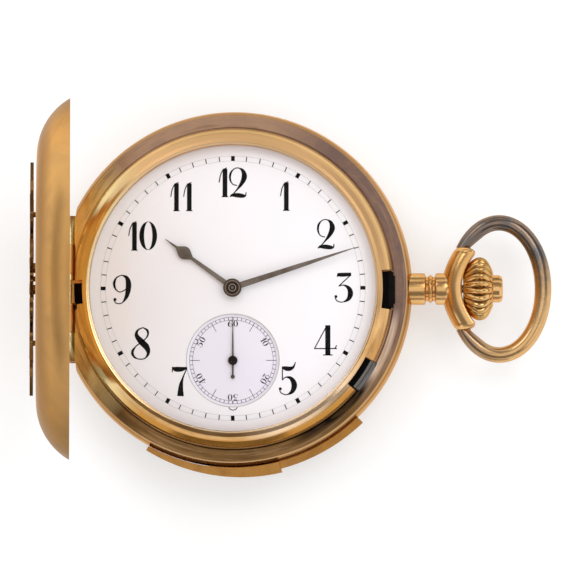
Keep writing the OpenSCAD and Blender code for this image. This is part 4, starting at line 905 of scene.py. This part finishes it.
class Flat:
    """Flat ink shapes gathered into one mesh."""

    def __init__(self, z):
        self.z = z
        self.v = []
        self.f = []

    def point(self, x, y):
        """One corner, given in mm on the dial."""
        self.v.append((x * MM, y * MM, self.z * MM))

    def poly(self, pts):
        """One face with these corners."""
        first = len(self.v)
        for x, y in pts:
            self.point(x, y)
        self.f.append(tuple(range(first, first + len(pts))))

    def strip(self, left, right, closed=False):
        """A ribbon of faces between two lines of points."""
        first = len(self.v)
        n = len(left)
        for a, b in zip(left, right):
            self.point(*a)
            self.point(*b)
        for k in range(n if closed else n - 1):
            j = (k + 1) % n
            self.f.append((first + 2 * k + 1, first + 2 * j + 1, first + 2 * j, first + 2 * k))

    def stroke(self, knots, place):
        """A line through knots of x, y and width."""
        c = spline(knots)
        left, right = [], []
        for i, (x, y, w) in enumerate(c):
            a, b = c[max(i - 1, 0)], c[min(i + 1, len(c) - 1)]
            dx, dy = b[0] - a[0], b[1] - a[1]
            k = math.hypot(dx, dy) or 1.0
            w = max(w, LEAST_STROKE)
            nx, ny = -dy / k * w / 2, dx / k * w / 2
            left.append(place(x + nx, y + ny))
            right.append(place(x - nx, y - ny))
        self.strip(left, right)

    def ball(self, x, y, r, place, sides=24):
        """A round spot at the end of a stroke."""
        turns = [k * math.pi / (sides / 2) for k in range(sides)]
        self.poly([place(x + r * math.cos(a), y + r * math.sin(a)) for a in turns])

    def ring(self, r0, r1, cx=0.0, cy=0.0, n=180, a0=0.0, a1=360.0):
        """A ring or an arc between two radii, about a centre."""
        closed = a1 - a0 >= 360
        turns = [math.radians(a0 + (a1 - a0) * k / n) for k in range(n if closed else n + 1)]
        self.strip([(cx + r1 * math.cos(a), cy + r1 * math.sin(a)) for a in turns],
                   [(cx + r0 * math.cos(a), cy + r0 * math.sin(a)) for a in turns], closed)

    def tick(self, a, r0, r1, w, cx=0.0, cy=0.0):
        """A bar of width w that points to the centre."""
        c, s = math.cos(a), math.sin(a)
        corners = ((r0, -w / 2), (r1, -w / 2), (r1, w / 2), (r0, w / 2))
        self.poly([(cx + r * c - q * s, cy + r * s + q * c) for r, q in corners])

    def build(self, name, mat):
        add(name, self.v, self.f, mat, "case")


# Figures at a height of 1: width, strokes of (x, y, width), and balls of (x, y, radius)
FIGURES = {
    "1": (0.30, [
        [(0.21, 0.0, 0.16), (0.21, 0.96, 0.16)],
        [(0.28, 1.0, 0.03), (0.15, 0.94, 0.05)],
        [(0.14, 0.93, 0.035), (0.06, 0.76, 0.022), (0.01, 0.5, 0.016)],
        [(0.10, 0.012, 0.026), (0.32, 0.012, 0.026)],
    ], []),
    "2": (0.60, [
        [(0.27, 0.40, 0.015), (0.12, 0.45, 0.03), (0.04, 0.60, 0.06), (0.05, 0.80, 0.07), (0.16, 0.95, 0.035),
         (0.31, 0.99, 0.022), (0.46, 0.90, 0.11), (0.515, 0.70, 0.18), (0.43, 0.48, 0.13), (0.26, 0.25, 0.05),
         (0.05, 0.02, 0.025)],
        [(0.03, 0.025, 0.02), (0.12, 0.075, 0.10), (0.29, 0.07, 0.15), (0.46, 0.05, 0.13), (0.55, 0.06, 0.06),
         (0.575, 0.17, 0.02)],
    ], []),
    "3": (0.64, [
        [(0.11, 0.86, 0.02), (0.13, 0.96, 0.05)],
        [(0.12, 0.94, 0.11), (0.30, 0.935, 0.135), (0.58, 0.95, 0.11)],
        [(0.57, 0.93, 0.03), (0.17, 0.56, 0.022)],
        [(0.16, 0.55, 0.022), (0.33, 0.585, 0.04), (0.50, 0.48, 0.13), (0.555, 0.30, 0.18),
         (0.48, 0.11, 0.12), (0.29, 0.012, 0.024), (0.11, 0.05, 0.022), (0.04, 0.16, 0.03)],
    ], [(0.065, 0.20, 0.05)]),
    "4": (0.77, [
        [(0.46, 0.0, 0.17), (0.46, 1.0, 0.17)],
        [(0.43, 0.99, 0.03), (0.02, 0.235, 0.022)],
        [(0.0, 0.225, 0.024), (0.76, 0.225, 0.024)],
        [(0.70, 0.235, 0.02), (0.755, 0.33, 0.04)],
        [(0.30, 0.012, 0.026), (0.62, 0.012, 0.026)],
    ], []),
    "5": (0.62, [
        [(0.13, 0.96, 0.02), (0.20, 0.91, 0.13), (0.36, 0.885, 0.15), (0.50, 0.945, 0.075),
         (0.57, 1.11, 0.018)],
        [(0.13, 0.96, 0.03), (0.13, 0.50, 0.022)],
        [(0.13, 0.50, 0.022), (0.24, 0.60, 0.035), (0.42, 0.56, 0.12), (0.53, 0.35, 0.19), (0.46, 0.12, 0.13),
         (0.27, 0.012, 0.024), (0.09, 0.07, 0.022), (0.035, 0.18, 0.03)],
    ], [(0.06, 0.21, 0.05)]),
    "7": (0.52, [
        [(0.01, 0.80, 0.02), (0.02, 0.98, 0.045)],
        [(0.02, 0.95, 0.06), (0.13, 0.90, 0.16), (0.32, 0.90, 0.15), (0.50, 0.945, 0.06)],
        [(0.505, 0.94, 0.03), (0.37, 0.63, 0.055), (0.30, 0.35, 0.14), (0.285, 0.0, 0.22)],
    ], []),
    "8": (0.60, [
        [(0.36, 0.99, 0.022), (0.20, 0.90, 0.06), (0.17, 0.74, 0.12), (0.32, 0.55, 0.19),
         (0.48, 0.38, 0.18), (0.53, 0.20, 0.10), (0.44, 0.05, 0.04), (0.28, 0.012, 0.022),
         (0.10, 0.08, 0.06), (0.04, 0.24, 0.085), (0.16, 0.42, 0.03), (0.38, 0.58, 0.022),
         (0.51, 0.74, 0.05), (0.50, 0.90, 0.07), (0.36, 0.99, 0.022)],
    ], []),
    "9": (0.64, [
        [(0.32, 0.99, 0.022), (0.49, 0.90, 0.12), (0.555, 0.66, 0.19), (0.50, 0.30, 0.14),
         (0.34, 0.045, 0.035), (0.15, 0.02, 0.022), (0.06, 0.12, 0.03)],
        [(0.32, 0.99, 0.022), (0.14, 0.90, 0.05), (0.06, 0.70, 0.09), (0.12, 0.50, 0.05),
         (0.27, 0.41, 0.022), (0.46, 0.50, 0.03)],
    ], [(0.09, 0.155, 0.052)]),
}
# The nought is an oval: half width and half height, outside and then inside
NOUGHT = ((0.31, 0.5), (0.145, 0.485))


def figure(flat, character, place):
    """One figure; place turns its x and y into x and y on the dial. The six is the nine upside down."""
    if character == "0":
        turns = [k * math.pi / 32 for k in range(64)]
        cx, cy = NOUGHT[0]
        edges = [[place(cx + wide * math.cos(a), cy + high * math.sin(a)) for a in turns]
                 for wide, high in NOUGHT]
        flat.strip(*edges, True)
        return
    if character == "6":
        figure(flat, "9", lambda x, y: place(width("9") - x, 1 - y))
        return
    strokes, balls = FIGURES[character][1:]
    for knots in strokes:
        flat.stroke(knots, place)
    for x, y, r in balls:
        flat.ball(x, y, r, place)


def width(character):
    """Width of a figure at a height of 1."""
    if character == "0":
        return 2 * NOUGHT[0][0]
    return FIGURES["9" if character == "6" else character][0]


# Hour figures, which stand upright: figure, left edge, foot and height. The seconds dial hides the six.
HOURS = (("1", -2.17, 14.04, 4.50), ("2", -0.60, 13.98, 4.58), ("1", 7.28, 11.90, 4.48),
         ("2", 12.93, 6.00, 4.56), ("3", 15.54, -2.24, 4.55), ("4", 12.47, -10.35, 4.61),
         ("5", 7.03, -16.43, 4.55), ("7", -9.34, -16.58, 4.60), ("8", -15.64, -10.96, 4.98),
         ("9", -18.55, -2.40, 4.49), ("1", -16.10, 5.84, 4.46), ("0", -14.41, 5.90, 4.40),
         ("1", -9.62, 11.90, 4.40), ("1", -7.64, 11.90, 4.40))
# The foot of the six shows below the seconds dial: inner and outer radius and centre of its arc
SIX_FOOT = (0.62, 0.74, 0.05, -18.05)
# Minute track: inner radius, then outer radius and width of the hour bars and the minute ticks
TRACK_INNER = 19.6
HOUR_BAR = (20.36, 0.56)
MINUTE_TICK = (20.34, 0.14)
# Radii of the two hairlines, and half their width
HAIRLINES = (19.58, 20.36)
HALF_HAIR = 0.016
# Seconds track: radii of its two lines, half their width, and where the long ticks begin
SECONDS_TRACK = (6.2, 6.66)
SECONDS_HALF_LINE = 0.022
SECONDS_LONG = 5.1
# Widths of the ticks of the seconds, and of each tenth one
SECONDS_TICK = 0.075
SECONDS_BOLD = 0.13
# Seconds figures: size, foot's distance from the centre, height to width, and the space between two
SECONDS_SIZE = 1.12
SECONDS_FOOT = 5.18
SECONDS_SQUAT = 0.86
SECONDS_SPACE = 0.12
# Radii of the grey line round the sunk dial
SECONDS_RIM = (7.1, 7.19)


def hour_print():
    """Hour figures, bars of the hours and the foot of the six below the seconds dial."""
    flat = Flat(DIAL_Z + LIFT)
    for character, x0, y0, h in HOURS:
        figure(flat, character, lambda x, y: (x0 + x * h, y0 + y * h))
    for k in range(12):
        flat.tick(math.radians(30 * k), TRACK_INNER, *HOUR_BAR)
    flat.ring(*SIX_FOOT, n=24, a0=200, a1=340)
    flat.build("dial_numerals", ink)


def minute_print():
    """Ticks between the hour bars, and the hairlines of the track."""
    flat = Flat(DIAL_Z + LIFT)
    for k in range(60):
        if k % 5:
            flat.tick(math.radians(6 * k), TRACK_INNER, *MINUTE_TICK)
    flat.build("dial_minute_ticks", ink)
    flat = Flat(DIAL_Z + LIFT / 2)
    for r in HAIRLINES:
        flat.ring(r - HALF_HAIR, r + HALF_HAIR, n=240)
    flat.build("dial_track_lines", fine_ink)


def seconds_figures(flat):
    """60, 10, 20 and so on, standing round the seconds dial."""
    for k, word in enumerate(("60", "10", "20", "30", "40", "50")):
        a = math.radians(90 - 60 * k)
        start = -(sum(width(c) for c in word) + SECONDS_SPACE) / 2
        for c in word:
            def place(u, v):
                across = (start + u) * SECONDS_SIZE
                out = SECONDS_FOOT + v * SECONDS_SIZE * SECONDS_SQUAT
                return (out * math.cos(a) + across * math.sin(a),
                        SECONDS_Y + out * math.sin(a) - across * math.cos(a))
            figure(flat, c, place)
            start += width(c) + SECONDS_SPACE


def seconds_print():
    """Track and figures of the sunk dial, and the grey line round it."""
    flat = Flat(SUNK_DIAL_Z + LIFT)
    for r in SECONDS_TRACK:
        flat.ring(r - SECONDS_HALF_LINE, r + SECONDS_HALF_LINE, 0.0, SECONDS_Y)
    inner, outer = SECONDS_TRACK
    for k in range(60):
        a = math.radians(90 - 6 * k)
        if k % 10 == 5:
            flat.tick(a, SECONDS_LONG, outer, SECONDS_TICK, 0.0, SECONDS_Y)
        else:
            flat.tick(a, inner, outer, SECONDS_TICK if k % 5 else SECONDS_BOLD, 0.0, SECONDS_Y)
    seconds_figures(flat)
    flat.build("seconds_print", ink)
    flat = Flat(DIAL_Z + LIFT)
    flat.ring(*SECONDS_RIM, 0.0, SECONDS_Y)
    flat.build("seconds_rim_line", rim_grey)


# The scene
dress()
stage()
pendant()
bow()
crown()
hour_print()
minute_print()
seconds_print()
